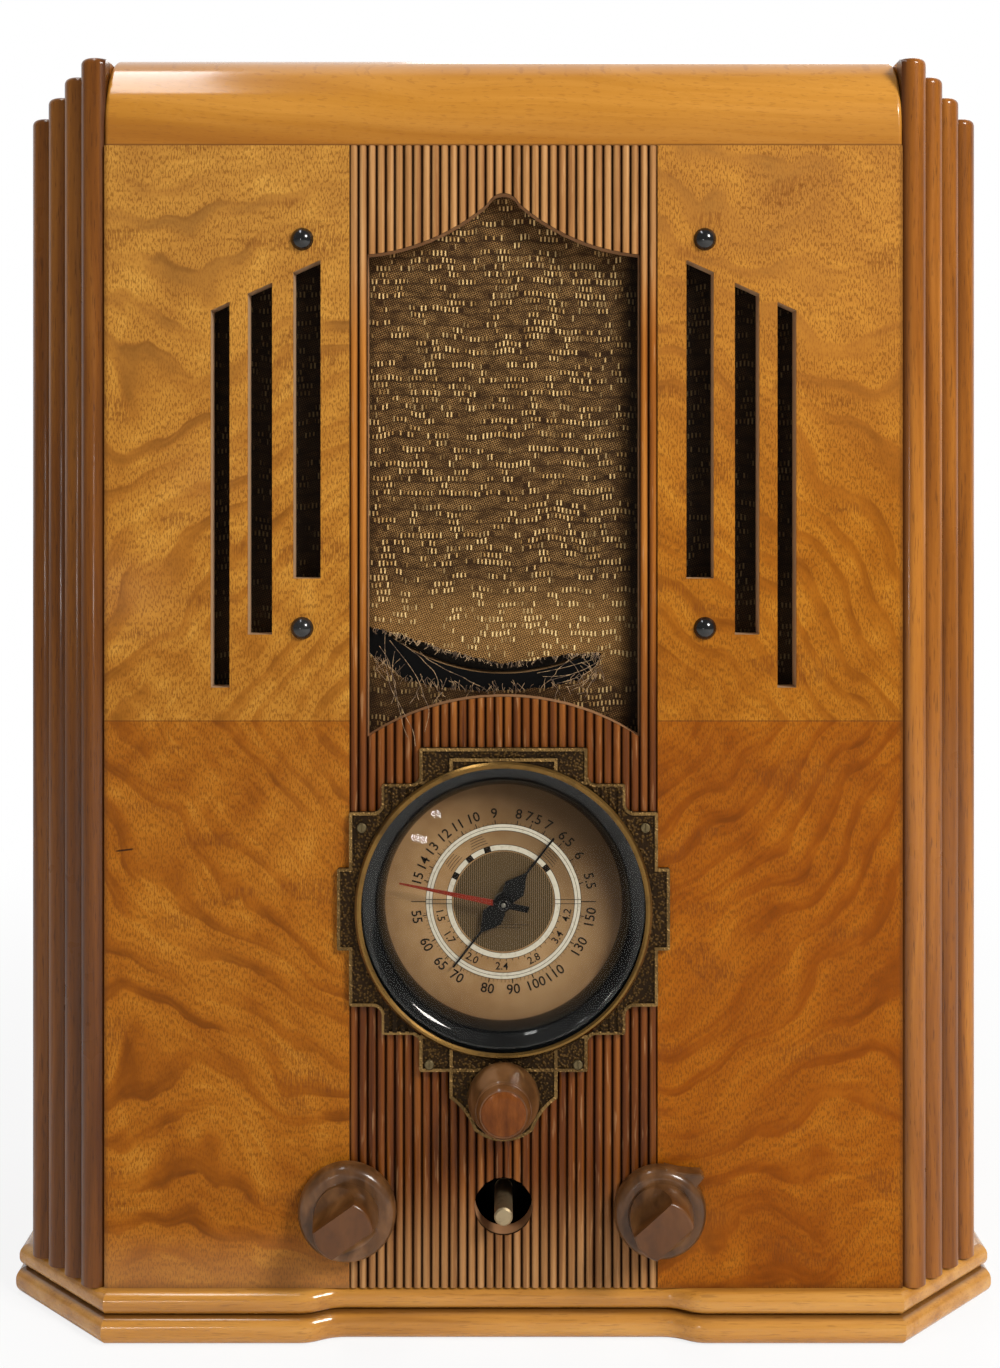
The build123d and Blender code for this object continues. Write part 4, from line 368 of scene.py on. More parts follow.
def knob_front():
    """The tuning knob's polished front disc, redder than its rim."""
    p = Paint("knob_front")
    rings = p.noise(p.stretched((330.0, 100.0, 90.0)), 1.0, 4.0, 0.6)
    tone = p.ramp(rings, (0.3, rgb(80, 38, 8)), (0.5, rgb(104, 54, 14)), (0.72, rgb(124, 70, 24)))
    return varnished(p, tone, rings, rough=0.36, coat=0.2, depth=0.00005)


def plain_board():
    """Raw plywood, painted dull black where it faces the cloth."""
    p = Paint("plain_board")
    rings = p.noise(p.stretched((90.0, 300.0, 6.0)), 1.0, 4.0, 0.6)
    tone = p.ramp(rings, (0.3, rgb(120, 88, 56)), (0.5, rgb(156, 120, 82)), (0.7, rgb(184, 148, 104)))
    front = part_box("baffle_board")[0][1]
    black = 1.0 - p.y.step(front + 0.1 * MM, front + 0.4 * MM)
    tone = p.blend(black, tone, rgb(9, 9, 9))
    return p.done(p.surface(Base_Color=tone, Roughness=0.8, Specular_IOR_Level=0.06,
                            Normal=p.bump(rings, 0.0002, 0.4)))


# Metals, paint, glass, print, cloth and paper
def antique_brass():
    """Hammered brass, nearly black in its hollows, rubbed bright along its raised rims, with a painted
    highlight there too.
    """
    p = Paint("antique_brass")
    dents = p.cells(p.stretched((1.0, 0.3, 1.0)), 1050.0, 0.95)
    stain = p.noise(p.point, 70.0, 4.0, 0.6)
    high = 1.0 - (dents + stain * 0.3 - 0.15).step(0.16, 0.5)
    tone = p.blend(high * 0.66, rgb(40, 26, 10), rgb(98, 72, 34))
    tone = p.blend(stain.step(0.5, 0.68) * 0.5, tone, rgb(26, 19, 9))
    proud = FRONT_Y - p.y
    rim = sum(1.0 - (proud - level).math("ABSOLUTE").step(0.03 * MM, 0.06 * MM) for level in RIM_LEVELS)
    # Lighter along the raised rims: partly rubbed wear, partly a painted highlight
    rubbed_and_highlight = rim * (0.35 + stain.step(0.4, 0.6) * 0.4)
    tone = p.blend(rubbed_and_highlight, tone, rgb(146, 114, 66))
    normal = p.bump(high, 0.0004, 0.7)
    return p.done(p.surface(Base_Color=tone, Metallic=0.65, Roughness=0.4 + stain * 0.25 - rim * 0.12,
                            Specular_IOR_Level=0.2, Normal=normal))


def polished_metal(name, colour, rough, stain=0.5, scale=80.0, shaded_front=None):
    """Plated or polished metal with stains; near-black ahead of a front depth, if given: painted shade."""
    p = Paint(name)
    blotch = p.noise(p.point, scale, 4.0, 0.65)
    fine = p.noise(p.point, 1800.0, 2.0)
    tone = p.blend(blotch.step(0.5, 0.72) * stain, rgb(*colour), rgb(60, 48, 34))
    if shaded_front:
        # Painted shade: near-black at the front, standing in for the shade inside the cabinet behind the
        # tone hole
        tone = p.blend(1.0 - p.y.step(shaded_front, shaded_front + 0.3 * MM), tone, rgb(10, 9, 8))
    return p.done(p.surface(Base_Color=tone, Metallic=1.0, Roughness=blotch * 0.3 + rough,
                            Normal=p.bump(fine, 0.00003, 0.4)))


def painted(name, colour, light, rough, coat=0.0, spots=0.3, shine=0.3, blur=0.05, gritty=True):
    """Paint, enamel or moulded plastic, lighter where dust lies on it and gritty unless said otherwise."""
    p = Paint(name)
    dust = p.noise(p.point, 500.0, 4.0, 0.7)
    broad = p.noise(p.point, 30.0, 3.0)
    tone = p.blend(dust.step(0.58, 0.8) * spots, rgb(*colour), rgb(*light))
    tone = p.blend(broad.step(0.45, 0.8) * 0.3, tone, rgb(*light))
    marks = {"Normal": p.bump(dust, 0.00003, 0.3)} if gritty else {}
    return p.done(p.surface(Base_Color=tone, Roughness=broad * 0.2 + rough, Coat_Weight=coat,
                            Coat_Roughness=blur, Specular_IOR_Level=shine, **marks))


def hand_enamel():
    """The quick hand: dull red along its long arm, black at its hub and tail."""
    p = Paint("red_enamel")
    wear = p.noise(p.point, 600.0, 3.0)
    arm = p.blend(wear.step(0.5, 0.75) * 0.5, rgb(124, 40, 26), rgb(92, 42, 30))
    tone = p.blend(p.x.step(-4.2 * MM, -3.4 * MM), arm, rgb(12, 11, 11))
    return p.done(p.surface(Base_Color=tone, Roughness=0.4, Specular_IOR_Level=0.1))


def clear_glass(name, tint, haze=0.0008, rough=0.02, gloss_share=0.1):
    """Thin clear glass: see-through, with a gloss that grows towards its edges."""
    p = Paint(name)
    through = p.node("ShaderNodeBsdfTransparent", {}, {"Color": (*tint, 1)})
    gloss = p.node("ShaderNodeBsdfGlossy", {}, {"Roughness": rough})
    dust = p.noise(p.point, 350.0, 4.0, 0.7).step(0.5, 0.8)
    bend = p.node("ShaderNodeFresnel", {}, {"IOR": 1.46})
    amount = bend * gloss_share + dust * haze
    return p.done(p.node("ShaderNodeMixShader", {}, (amount, through, gloss)))


def printed_scale():
    """The dial's face: aged tan print with painted shade at its rim and upper right, and a disc of fine
    upright lines.
    """
    p = Paint("printed_scale")
    rise = p.z - DIAL_Z
    radius = (p.x * p.x + rise * rise) ** 0.5
    blotch = p.noise(p.point, 60.0, 4.0, 0.6)
    tone = p.blend(blotch.step(0.35, 0.7), rgb(166, 134, 96), rgb(148, 115, 78))
    # Painted shade towards the rim, inside the black ring
    rim = radius.step(26.0 * MM, 42.0 * MM)
    tone = p.blend(rim * 0.45, tone, rgb(104, 76, 50))
    # Painted shadow of the bezel and ring over the upper right
    bezel_shadow = (p.x * 0.66 + rise * 0.75).step(-6.0 * MM, 40.0 * MM)
    tone = p.blend(bezel_shadow * 0.8, tone, rgb(52, 37, 24))
    lines = (p.x * (2 * math.pi / (0.72 * MM))).math("SINE")
    disc = p.blend(lines.step(-0.2, 0.5), rgb(62, 50, 34), rgb(108, 90, 64))
    tone = p.blend(1.0 - radius.step(17.7 * MM, 17.9 * MM), tone, disc)
    return p.done(p.surface(Base_Color=tone, Roughness=0.6, Specular_IOR_Level=0.05))


def woven_cloth():
    """Brown grille cloth: a fine dotted weave under wavy, broken rows of short gold slubs."""
    p = Paint("grille_cloth")
    pitch_x, pitch_z, dot = 1.4 * MM, 2.5 * MM, 0.95 * MM
    wave = p.noise(p.vector(p.x * 42.0, 0.0, p.z * 16.0), 1.0, 2.0) - 0.5
    jitter = p.noise(p.vector(p.x * 190.0, 4.0, p.z * 90.0), 1.0, 1.0) - 0.5
    row = (p.z + wave * 7.0 * MM + jitter * 1.6 * MM) / pitch_z
    in_row = row.math("FRACT")
    row_id = row.math("FLOOR")
    column = p.x / pitch_x + row_id * 0.37
    in_column = (column.math("FRACT") - 0.5).math("ABSOLUTE")
    luck = p.node("ShaderNodeTexWhiteNoise", {"noise_dimensions": "2D"},
                  {"Vector": p.vector(column.math("FLOOR"), row_id, 0.0)})
    weak = (row_id * 0.5).math("FRACT") * 2.0
    group = (p.noise(p.vector(p.x * 150.0, row_id * 3.7, 0.0), 1.0, 1.0) - weak * 0.07).step(0.47, 0.53)
    tall = luck * 0.16 + 0.2
    slub_rise = 1.0 - ((in_row - 0.62).math("ABSOLUTE") - tall).step(0.0, 0.1)
    slub = slub_rise * (1.0 - in_column.step(0.14, 0.3)) * group * luck.step(0.1, 0.2)
    knot_x = (p.x * (2 * math.pi / dot) + p.z * (math.pi / dot)).math("SINE")
    knot_z = (p.z * (2 * math.pi / dot) - p.x * (math.pi / dot)).math("SINE")
    knot = (knot_x * knot_z).step(-0.05, 0.55)
    patch = p.noise(p.stretched((190.0, 1.0, 320.0)), 1.0, 2.0).step(0.3, 0.7)
    ground = p.blend(knot * (patch * 0.7 + 0.3), rgb(38, 20, 6), rgb(178, 136, 82))
    around = (1.0 - (in_row - 0.5).math("ABSOLUTE").step(0.3, 0.48)) * group
    under_row = (1.0 - (in_row - 0.16).math("ABSOLUTE").step(0.08, 0.34)) * (1.0 - weak) * 0.5
    ground = p.blend((around * 0.75).math("MAXIMUM", under_row), ground, rgb(38, 21, 8))
    blotch = p.noise(p.stretched((45.0, 1.0, 30.0)), 1.0, 3.0)
    ground = p.blend(blotch.step(0.4, 0.7) * 0.25, ground, rgb(62, 38, 18))
    # Paler and more golden in a band around the tear
    paler_near_tear = 1.0 - (p.z - TEAR_PALE_Z).math("ABSOLUTE").step(4.0 * MM, 24.0 * MM)
    gold = p.blend(luck, rgb(166, 122, 62), rgb(232, 196, 134))
    gold = p.blend(paler_near_tear * 0.5, gold, rgb(246, 214, 150))
    ground = p.blend(paler_near_tear * (0.06 + knot * 0.5), ground, rgb(206, 154, 88))
    tone = p.blend(slub, ground, gold)
    # Darker below the tear, and more so on its left
    dark_below_tear = (1.0 - p.z.step(226.0 * MM, 242.0 * MM)) * (1.0 - p.x.step(12.0 * MM, 30.0 * MM) * 0.5)
    tone = p.blend(dark_below_tear * 0.6, tone, rgb(32, 20, 9))
    # Painted shade: nearly black behind the facings, and a painted shadow inside the opening along its
    # right edge and a little along its left
    right = p.x.step(40.5 * MM, 47.5 * MM) + p.x.step(20.0 * MM, 42.0 * MM) * 0.2
    leftward = 0.0 - p.x
    left = leftward.step(44.0 * MM, 47.5 * MM) * 0.4 + leftward.step(48.5 * MM, 52.5 * MM)
    cloth_shade = (right + left).math("MINIMUM", 1.0)
    tone = p.blend(cloth_shade * 0.9, tone, rgb(9, 6, 4))
    height = knot * 0.4 + slub
    return p.done(p.surface(Base_Color=tone, Roughness=0.75, Specular_IOR_Level=0.08, Sheen_Weight=0.02,
                            Sheen_Roughness=0.5, Normal=p.bump(height, 0.0005, 0.9)))


def felted(name, colour, fibre, rough=0.9):
    """Felted paper, or rubber."""
    p = Paint(name)
    fuzz = p.noise(p.point, 1200.0, 4.0, 0.7)
    broad = p.noise(p.point, 50.0, 3.0)
    tone = p.blend(fuzz.step(0.45, 0.75) * 0.6 + broad * 0.2, rgb(*colour), rgb(*fibre))
    return p.done(p.surface(Base_Color=tone, Roughness=rough, Specular_IOR_Level=0.12,
                            Normal=p.bump(fuzz, 0.0001, 0.5)))


def print_ink(name, colour, worn):
    """Printing ink, worn in spots."""
    p = Paint(name)
    rub = p.noise(p.point, 900.0, 3.0)
    tone = p.blend(rub.step(0.5, 0.7) * 0.4, rgb(*colour), rgb(*worn))
    return p.done(p.surface(Base_Color=tone, Roughness=0.6, Specular_IOR_Level=0.1))


WALNUT = ((0.34, (104, 60, 20)), (0.5, (146, 90, 36)), (0.66, (174, 116, 52)))
STAVE = ((0.34, (88, 46, 10)), (0.5, (134, 78, 22)), (0.66, (168, 106, 38)))
MOULDING = ((0.34, (152, 98, 34)), (0.5, (186, 128, 52)), (0.66, (204, 150, 74)))

finishes = {
    "rail_veneer": rail_veneer(),
    "facing_veneer": facing_veneer(),
    "reeded_walnut": reeded_walnut(),
    "cabinet_walnut": long_grain("cabinet_walnut", WALNUT, "z"),
    "shoulder_walnut": long_grain("shoulder_walnut", STAVE, "y", coat=0.7, rough=0.22),
    "top_walnut": long_grain("top_walnut", WALNUT, "x", coat=0.7, rough=0.26),
    # The staves and the base moulding get painted shade through their masks
    "stave_walnut": long_grain("stave_walnut", STAVE, "z", coat=0.45, rough=0.2, painted_shade=stave_shade),
    "moulding_walnut": long_grain("moulding_walnut", MOULDING, "x", cut=0.28, coat=1.0, rough=0.16,
                                  painted_shade=base_shade_and_seam, dark_grain_and_shade=(70, 34, 12)),
    "knob_wood": knob_wood(),
    "knob_front": knob_front(),
    "plain_board": plain_board(),
    "grille_cloth": woven_cloth(),
    "antique_brass": antique_brass(),
    "bright_brass": polished_metal("bright_brass", (124, 94, 50), rough=0.14, stain=0.6),
    "plated_steel": polished_metal("plated_steel", (150, 148, 138), rough=0.34),
    "shaft_steel": polished_metal("shaft_steel", (172, 154, 122), rough=0.36, scale=220.0),
    "screw_brass": polished_metal("screw_brass", (112, 98, 70), rough=0.42, stain=0.6, scale=260.0),
    "control_case": polished_metal("control_case", (150, 148, 138), rough=0.34,
                                   shaded_front=PAN_FRONT + 0.2 * MM),
    "chassis_plate": polished_metal("chassis_plate", (142, 140, 130), rough=0.42, stain=0.6, scale=25.0,
                                    shaded_front=PAN_FRONT + 0.2 * MM),
    "plate_aluminium": polished_metal("plate_aluminium", (196, 196, 196), rough=0.3, stain=0.2),
    "drawn_aluminium": polished_metal("drawn_aluminium", (176, 176, 172), rough=0.36, stain=0.35,
                                      scale=40.0),
    "black_enamel": painted("black_enamel", (8, 8, 9), (50, 50, 50), rough=0.1, coat=0.7, spots=0.06),
    "dial_black": painted("dial_black", (6, 8, 10), (16, 20, 22), rough=0.3, coat=0.8, spots=0.05,
                          shine=0.04, blur=0.06, gritty=False),
    "pointer_black": painted("pointer_black", (12, 11, 11), (34, 32, 30), rough=0.4, coat=0.1, shine=0.1),
    "red_enamel": hand_enamel(),
    "japanned_steel": painted("japanned_steel", (24, 23, 22), (70, 62, 52), rough=0.34),
    "valve_base": painted("valve_base", (30, 18, 12), (60, 44, 34), rough=0.2),
    "socket_board": painted("socket_board", (86, 46, 22), (110, 74, 44), rough=0.5),
    "dial_glass": clear_glass("dial_glass", (0.97, 0.965, 0.95)),
    "valve_glass": clear_glass("valve_glass", (0.93, 0.94, 0.94), haze=0.05, rough=0.04,
                               gloss_share=0.75),
    "printed_scale": printed_scale(),
    "cone_paper": felted("cone_paper", (38, 34, 30), (78, 70, 60)),
    "spider_paper": felted("spider_paper", (92, 58, 28), (130, 92, 52)),
    "pad_rubber": felted("pad_rubber", (30, 28, 26), (56, 52, 48), rough=0.7),
    "dark_ink": print_ink("dark_ink", (22, 17, 12), (46, 36, 26)),
    "white_ink": print_ink("white_ink", (206, 200, 184), (160, 148, 124)),
}

SHOWN_AS = {"shoulder_mouldings": "shoulder_walnut", "top_panel": "top_walnut",
            "dial_pointer": "pointer_black", "tone_control": "control_case",
            "escutcheon_screws": "screw_brass"}
for entry in frame["record"]["subparts"]:
    node = nodes[entry["node"]]
    material = finishes[SHOWN_AS.get(entry["node"], entry["material_slot"])]
    if not node.material_slots:
        node.data.materials.append(material)
    for place in node.material_slots:
        place.link = "OBJECT"
        place.material = material


def new_object(name, data):
    """An object of this mesh, curve, lamp or camera, linked to the scene."""
    made = bpy.data.objects.new(name, data)
    bpy.context.scene.collection.objects.link(made)
    return made


def mesh_object(name, shape, material):
    """An object of this bmesh, which is freed, with its material."""
    mesh = bpy.data.meshes.new(name)
    shape.to_mesh(mesh)
    shape.free()
    mesh.materials.append(material)
    return new_object(name, mesh)


def piece(name, shape, finish, body="cabinet"):
    """A new piece from a bmesh, with its finish and the body that it rides on."""
    made = mesh_object(name, shape, finishes[finish])
    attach(made, body)
    return made


def smooth(made):
    """Shades every face of the object smooth."""
    for face in made.data.polygons:
        face.use_smooth = True
    return made


# Grille cloth: torn near its foot, with frayed edges and long loose threads
CLOTH_LOW, CLOTH_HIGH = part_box("grille_cloth")
CLOTH_Y = (CLOTH_LOW[1] + CLOTH_HIGH[1]) / 2
OPENING_HALF, OPENING_Z, OPENING_RISE = 46.0 * MM, 305.0 * MM, 92.0 * MM
TEAR_LEFT, TEAR_RIGHT = -50.0 * MM, 35.0 * MM
# The tear's two edges, as x and z in millimetres
UPPER_TEAR = ((-50, 249.5), (-43.5, 247.6), (-38, 246.2), (-30, 243.6), (-20.6, 240.4), (-9, 237.8),
              (0, 235.8), (9, 236.6), (15.4, 238.2), (25.6, 239.0), (34.6, 239.4), (36, 239.4))
LOWER_TEAR = ((-50, 241.0), (-43.5, 236.0), (-33, 229.4), (-22, 227.2), (-8, 226.0), (4, 226.3),
              (15.4, 227.2), (25.6, 229.6), (32, 234.0), (35, 239.2), (36, 239.4))


def along_tear(points, x):
    """The height of a torn edge at x, eased from point to point, in metres."""
    x_mm = x / MM
    if x_mm <= points[0][0]:
        return points[0][1] * MM
    for (x0, z0), (x1, z1) in zip(points, points[1:]):
        if x_mm <= x1:
            share = (x_mm - x0) / (x1 - x0)
            share = share * share * (3 - 2 * share)
            return (z0 + (z1 - z0) * share) * MM
    return points[-1][1] * MM


def ragged(x, seed):
    """How far a torn edge strays at x, in metres: short frays on longer waves."""
    frays = noise.noise(Vector((x * 900.0, seed, 0.0)))
    waves = noise.noise(Vector((x * 240.0, seed, 5.0)))
    return 0.55 * MM * frays + 0.5 * MM * waves


def torn_cloth():
    """The sheet above and below the tear, joined beside it, with its area and its size laid flat."""
    shape = bmesh.new()
    margin = 0.5 * MM
    left, right = CLOTH_LOW[0] + margin, CLOTH_HIGH[0] - margin
    low, high = CLOTH_LOW[2] + margin, CLOTH_HIGH[2] - margin
    count = 320
    columns = []
    for index in range(count + 1):
        x = left + (right - left) * index / count
        upper, lower = along_tear(UPPER_TEAR, x), along_tear(LOWER_TEAR, x)
        if TEAR_LEFT < x < TEAR_RIGHT:
            upper += ragged(x, 1.0)
            lower = min(lower + ragged(x, 2.0), upper)
        else:
            lower = upper = (lower + upper) / 2
        columns.append((x, lower, upper))

    def bulge(x, z, upper, lower):
        """How far the cloth bows forward in the opening, most where it hangs loose at the tear."""
        room = max(0.0, 1 - (x / OPENING_HALF) ** 2) * max(0.0, 1 - ((z - OPENING_Z) / OPENING_RISE) ** 2)
        near = (z - upper) / (7 * MM) if z >= upper else abs(z - lower) / (6 * MM)
        loose = math.exp(-near) * max(0.0, 1 - (x / (OPENING_HALF - 1.0 * MM)) ** 2)
        ripple = noise.noise(Vector((x * 60.0, 3.0, z * 30.0)))
        fold = noise.noise(Vector((x * 110.0, 9.0, 1.0)))
        return (room * (0.5 + 0.35 * ripple) + loose * (1.3 + 1.2 * fold)) * 0.9 * MM

    def strip(bottom_of, top_of, rows):
        """One part of the sheet, between two heights that depend on the column's tear."""
        grid = []
        for x, lower, upper in columns:
            z0, z1 = bottom_of(lower, upper), top_of(lower, upper)
            line = []
            for k in range(rows + 1):
                z = z0 + (z1 - z0) * k / rows
                line.append(shape.verts.new((x, CLOTH_Y - bulge(x, z, upper, lower), z)))
            grid.append(line)
        for a, b in zip(grid, grid[1:]):
            for k in range(rows):
                shape.faces.new((a[k], b[k], b[k + 1], a[k + 1]))

    strip(lambda lower, upper: upper, lambda lower, upper: high, 60)
    strip(lambda lower, upper: low, lambda lower, upper: lower, 24)
    bmesh.ops.remove_doubles(shape, verts=shape.verts, dist=1e-6)
    bmesh.ops.recalc_face_normals(shape, faces=shape.faces)
    area = sum(face.calc_area() for face in shape.faces)
    return smooth(piece("torn_grille_cloth", shape, "grille_cloth")), area, (right - left, high - low)


def loose_threads():
    """Frayed ends along both torn edges, and a few long threads that hang down over the arch."""
    draw = random.Random(7)
    curve = bpy.data.curves.new("cloth_threads", "CURVE")
    curve.dimensions = "3D"
    curve.bevel_depth = 0.11 * MM
    curve.bevel_resolution = 1
    curve.resolution_u = 3

    def thread(points, thickness):
        line = curve.splines.new("NURBS")
        line.points.add(len(points) - 1)
        for place, point in zip(line.points, points):
            place.co = (*point, 1)
            place.radius = thickness
        line.order_u = 3
        line.use_endpoint_u = True

    def frayed(x, z, way, length, forward):
        """One frayed end: out of the torn edge, curling a little as it goes."""
        lean = draw.uniform(-0.9, 0.9)
        points = []
        for k in range(4):
            part = k / 3
            reach = length * part
            points.append((x + (lean + draw.uniform(-0.3, 0.3)) * reach,
                           CLOTH_Y - (1.0 * MM + forward * part),
                           z + (way + draw.uniform(-0.15, 0.15)) * reach))
        thread(points, draw.uniform(0.5, 1.1))

    for index in range(190):
        x = draw.uniform(-OPENING_HALF, TEAR_RIGHT - 1.0 * MM)
        upper, lower = along_tear(UPPER_TEAR, x), along_tear(LOWER_TEAR, x)
        frayed(x, upper + 0.4 * MM, -1, draw.uniform(0.8, 2.4) * MM, draw.uniform(-0.2, 0.6) * MM)
        if index % 2:
            frayed(x, lower - 0.6 * MM, 1, draw.uniform(1.0, 4.5) * MM, draw.uniform(0.0, 1.8) * MM)
        if index % 5 == 0:
            frayed(x, lower - draw.uniform(1.0, 5.0) * MM, draw.choice((-1, 1)),
                   draw.uniform(2.0, 6.0) * MM, draw.uniform(0.4, 2.2) * MM)

    def hanging(x0, z0, x1, z1, slack, out, sag=0.0):
        """A long thread between two places, swaying aside by slack, standing out and sagging."""
        points = []
        for k in range(9):
            part = k / 8
            sway = math.sin(part * math.pi * draw.uniform(0.9, 1.4)) * slack
            y = CLOTH_Y - (1.4 * MM + out * math.sin(part * math.pi / 2))
            points.append((x0 + (x1 - x0) * part + sway + draw.uniform(-0.4, 0.4) * MM, y,
                           z0 + (z1 - z0) * part - sag * math.sin(part * math.pi)))
        thread(points, 0.8)

    # From x and z to x and z, the slack and how far out, in millimetres; three hang over the lip
    over_lip = (CLOTH_Y - FRONT_Y) / MM + 0.5
    for row in ((-42, 246, -31, 208, -3.0, over_lip), (-40, 244, -26, 213, 4.0, over_lip),
                (-39, 240, -33.5, 211, -1.5, over_lip), (-36, 243, -20, 224.6, 3.0, 5.5),
                (-44, 242, -38, 222, 2.0, 4.0), (22, 238, 30, 224, 2.0, 3.0),
                (27, 239, 16, 228, -3.0, 3.0), (-30, 240, -8, 228, -2.0, 2.5)):
        hanging(*(value * MM for value in row))
    for index in range(7):
        row = (35.5 - 0.5 * index, 238.6 - 1.0 * index, 12.0 + 2.4 * index, 232.5 - 1.2 * index,
               0.4, 1.0 + 0.3 * index, draw.uniform(0.4, 2.4))
        hanging(*(value * MM for value in row))
    curve.materials.append(finishes["thread"])
    made = new_object("cloth_threads", curve)
    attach(made, "cabinet")
    return made


def thread_finish():
    """Loose cotton thread, part faded."""
    p = Paint("cloth_thread")
    vary = p.noise(p.point, 500.0, 2.0)
    tone = p.blend(vary.step(0.35, 0.65), rgb(74, 52, 34), rgb(176, 144, 104))
    return p.done(p.surface(Base_Color=tone, Roughness=0.7, Sheen_Weight=0.2))


finishes["thread"] = thread_finish()
cloth, cloth_area, cloth_size = torn_cloth()
threads = loose_threads()
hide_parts("grille_cloth")

# Dial printing: rings, ticks and plain numbers, a hair in front of the scale
INK_LIFT = 0.06 * MM
# A pixel of the photograph at the dial, and radii read there
PX = 0.357 * MM
NUMBERS_R, INNER_NUMBERS_R, BARS_OUT = 88 * PX, 64.5 * PX, 92 * PX
RING_OUT, RING_IN, DISC_OUT, DISC_IN = 77 * PX, 71 * PX, 56.5 * PX, 51.5 * PX
ROWS_OUT, ROWS_IN = 68 * PX, 60 * PX


def dial_point(radius, angle):
    """A place on the dial, with the angle clockwise from the top in degrees."""
    turn = math.radians(angle)
    return Vector((radius * math.sin(turn), 0, radius * math.cos(turn)))


def ink_ring(shape, inner, outer, start=0.0, stop=360.0, steps=120, lift=1.0):
    """A flat ring on the scale, or an arc of one from start to stop in degrees."""
    y = SCALE_FACE - INK_LIFT * lift
    last = None
    for index in range(steps + 1):
        angle = start + (stop - start) * index / steps
        pair = []
        for radius in (inner, outer):
            place = dial_point(radius, angle)
            pair.append(shape.verts.new((place.x, y, DIAL_Z + place.z)))
        if last:
            shape.faces.new((last[0], last[1], pair[1], pair[0]))
        last = pair


def ink_bar(shape, angle, inner, outer, width, lift=2.0, shift=0.0):
    """A tick along a radius, or a short bar beside one."""
    y = SCALE_FACE - INK_LIFT * lift
    along = dial_point(1.0, angle)
    aside = Vector((along.z, 0, -along.x))
    corners = [along * r + aside * (s * width / 2 + shift) for r, s in
               ((inner, -1), (inner, 1), (outer, 1), (outer, -1))]
    shape.faces.new([shape.verts.new((c.x, y, DIAL_Z + c.z)) for c in corners])


def numbers(entries, size, name):
    """Plain numbers that follow the dial's arcs, upright at its top and at its foot."""
    shape = bmesh.new()
    for text, radius, angle, upright in entries:
        curve = bpy.data.curves.new("number", "FONT")
        curve.body = text
        curve.align_x, curve.align_y = "CENTER", "CENTER"
        curve.size = size
        curve.offset = 0.01 * size
        curve.resolution_u = 3
        holder = new_object("number", curve)
        mesh = bpy.data.meshes.new_from_object(holder)
        place = dial_point(radius, angle)
        turn = math.radians(angle if upright else angle + 180)
        matrix = (Matrix.Translation((place.x, SCALE_FACE - INK_LIFT * 2, DIAL_Z + place.z))
                  @ Matrix.Rotation(turn, 4, "Y") @ Matrix.Rotation(math.pi / 2, 4, "X"))
        mesh.transform(matrix)
        shape.from_mesh(mesh)
        bpy.data.objects.remove(holder)
        bpy.data.meshes.remove(mesh)
    return piece(name, shape, "dark_ink")


UPPER_NUMBERS = (("15", -75), ("14", -64.5), ("13", -53.5), ("12", -42), ("11", -31), ("10", -20),
                 ("9", -6), ("8", 10), ("7.5", 20), ("7", 30.5), ("6.5", 45), ("6", 58.5), ("5.5", 76.5))
LOWER_NUMBERS = (("55", 260), ("60", 241), ("65", 225.5), ("70", 212), ("80", 190.5), ("90", 173.5),
                 ("100", 158.5), ("110", 144.5), ("130", 121), ("150", 100.5))
INNER_NUMBERS = (("1.5", 258), ("1.7", 237), ("2.0", 209), ("2.4", 181.5), ("2.8", 152), ("3.4", 123.5),
                 ("4.2", 102))


def white_rings():
    """The two pale rings that carry the scale's divisions."""
    rings = bmesh.new()
    ink_ring(rings, RING_IN, RING_OUT)
    ink_ring(rings, DISC_IN, DISC_OUT)
    piece("dial_white_rings", rings, "white_ink")


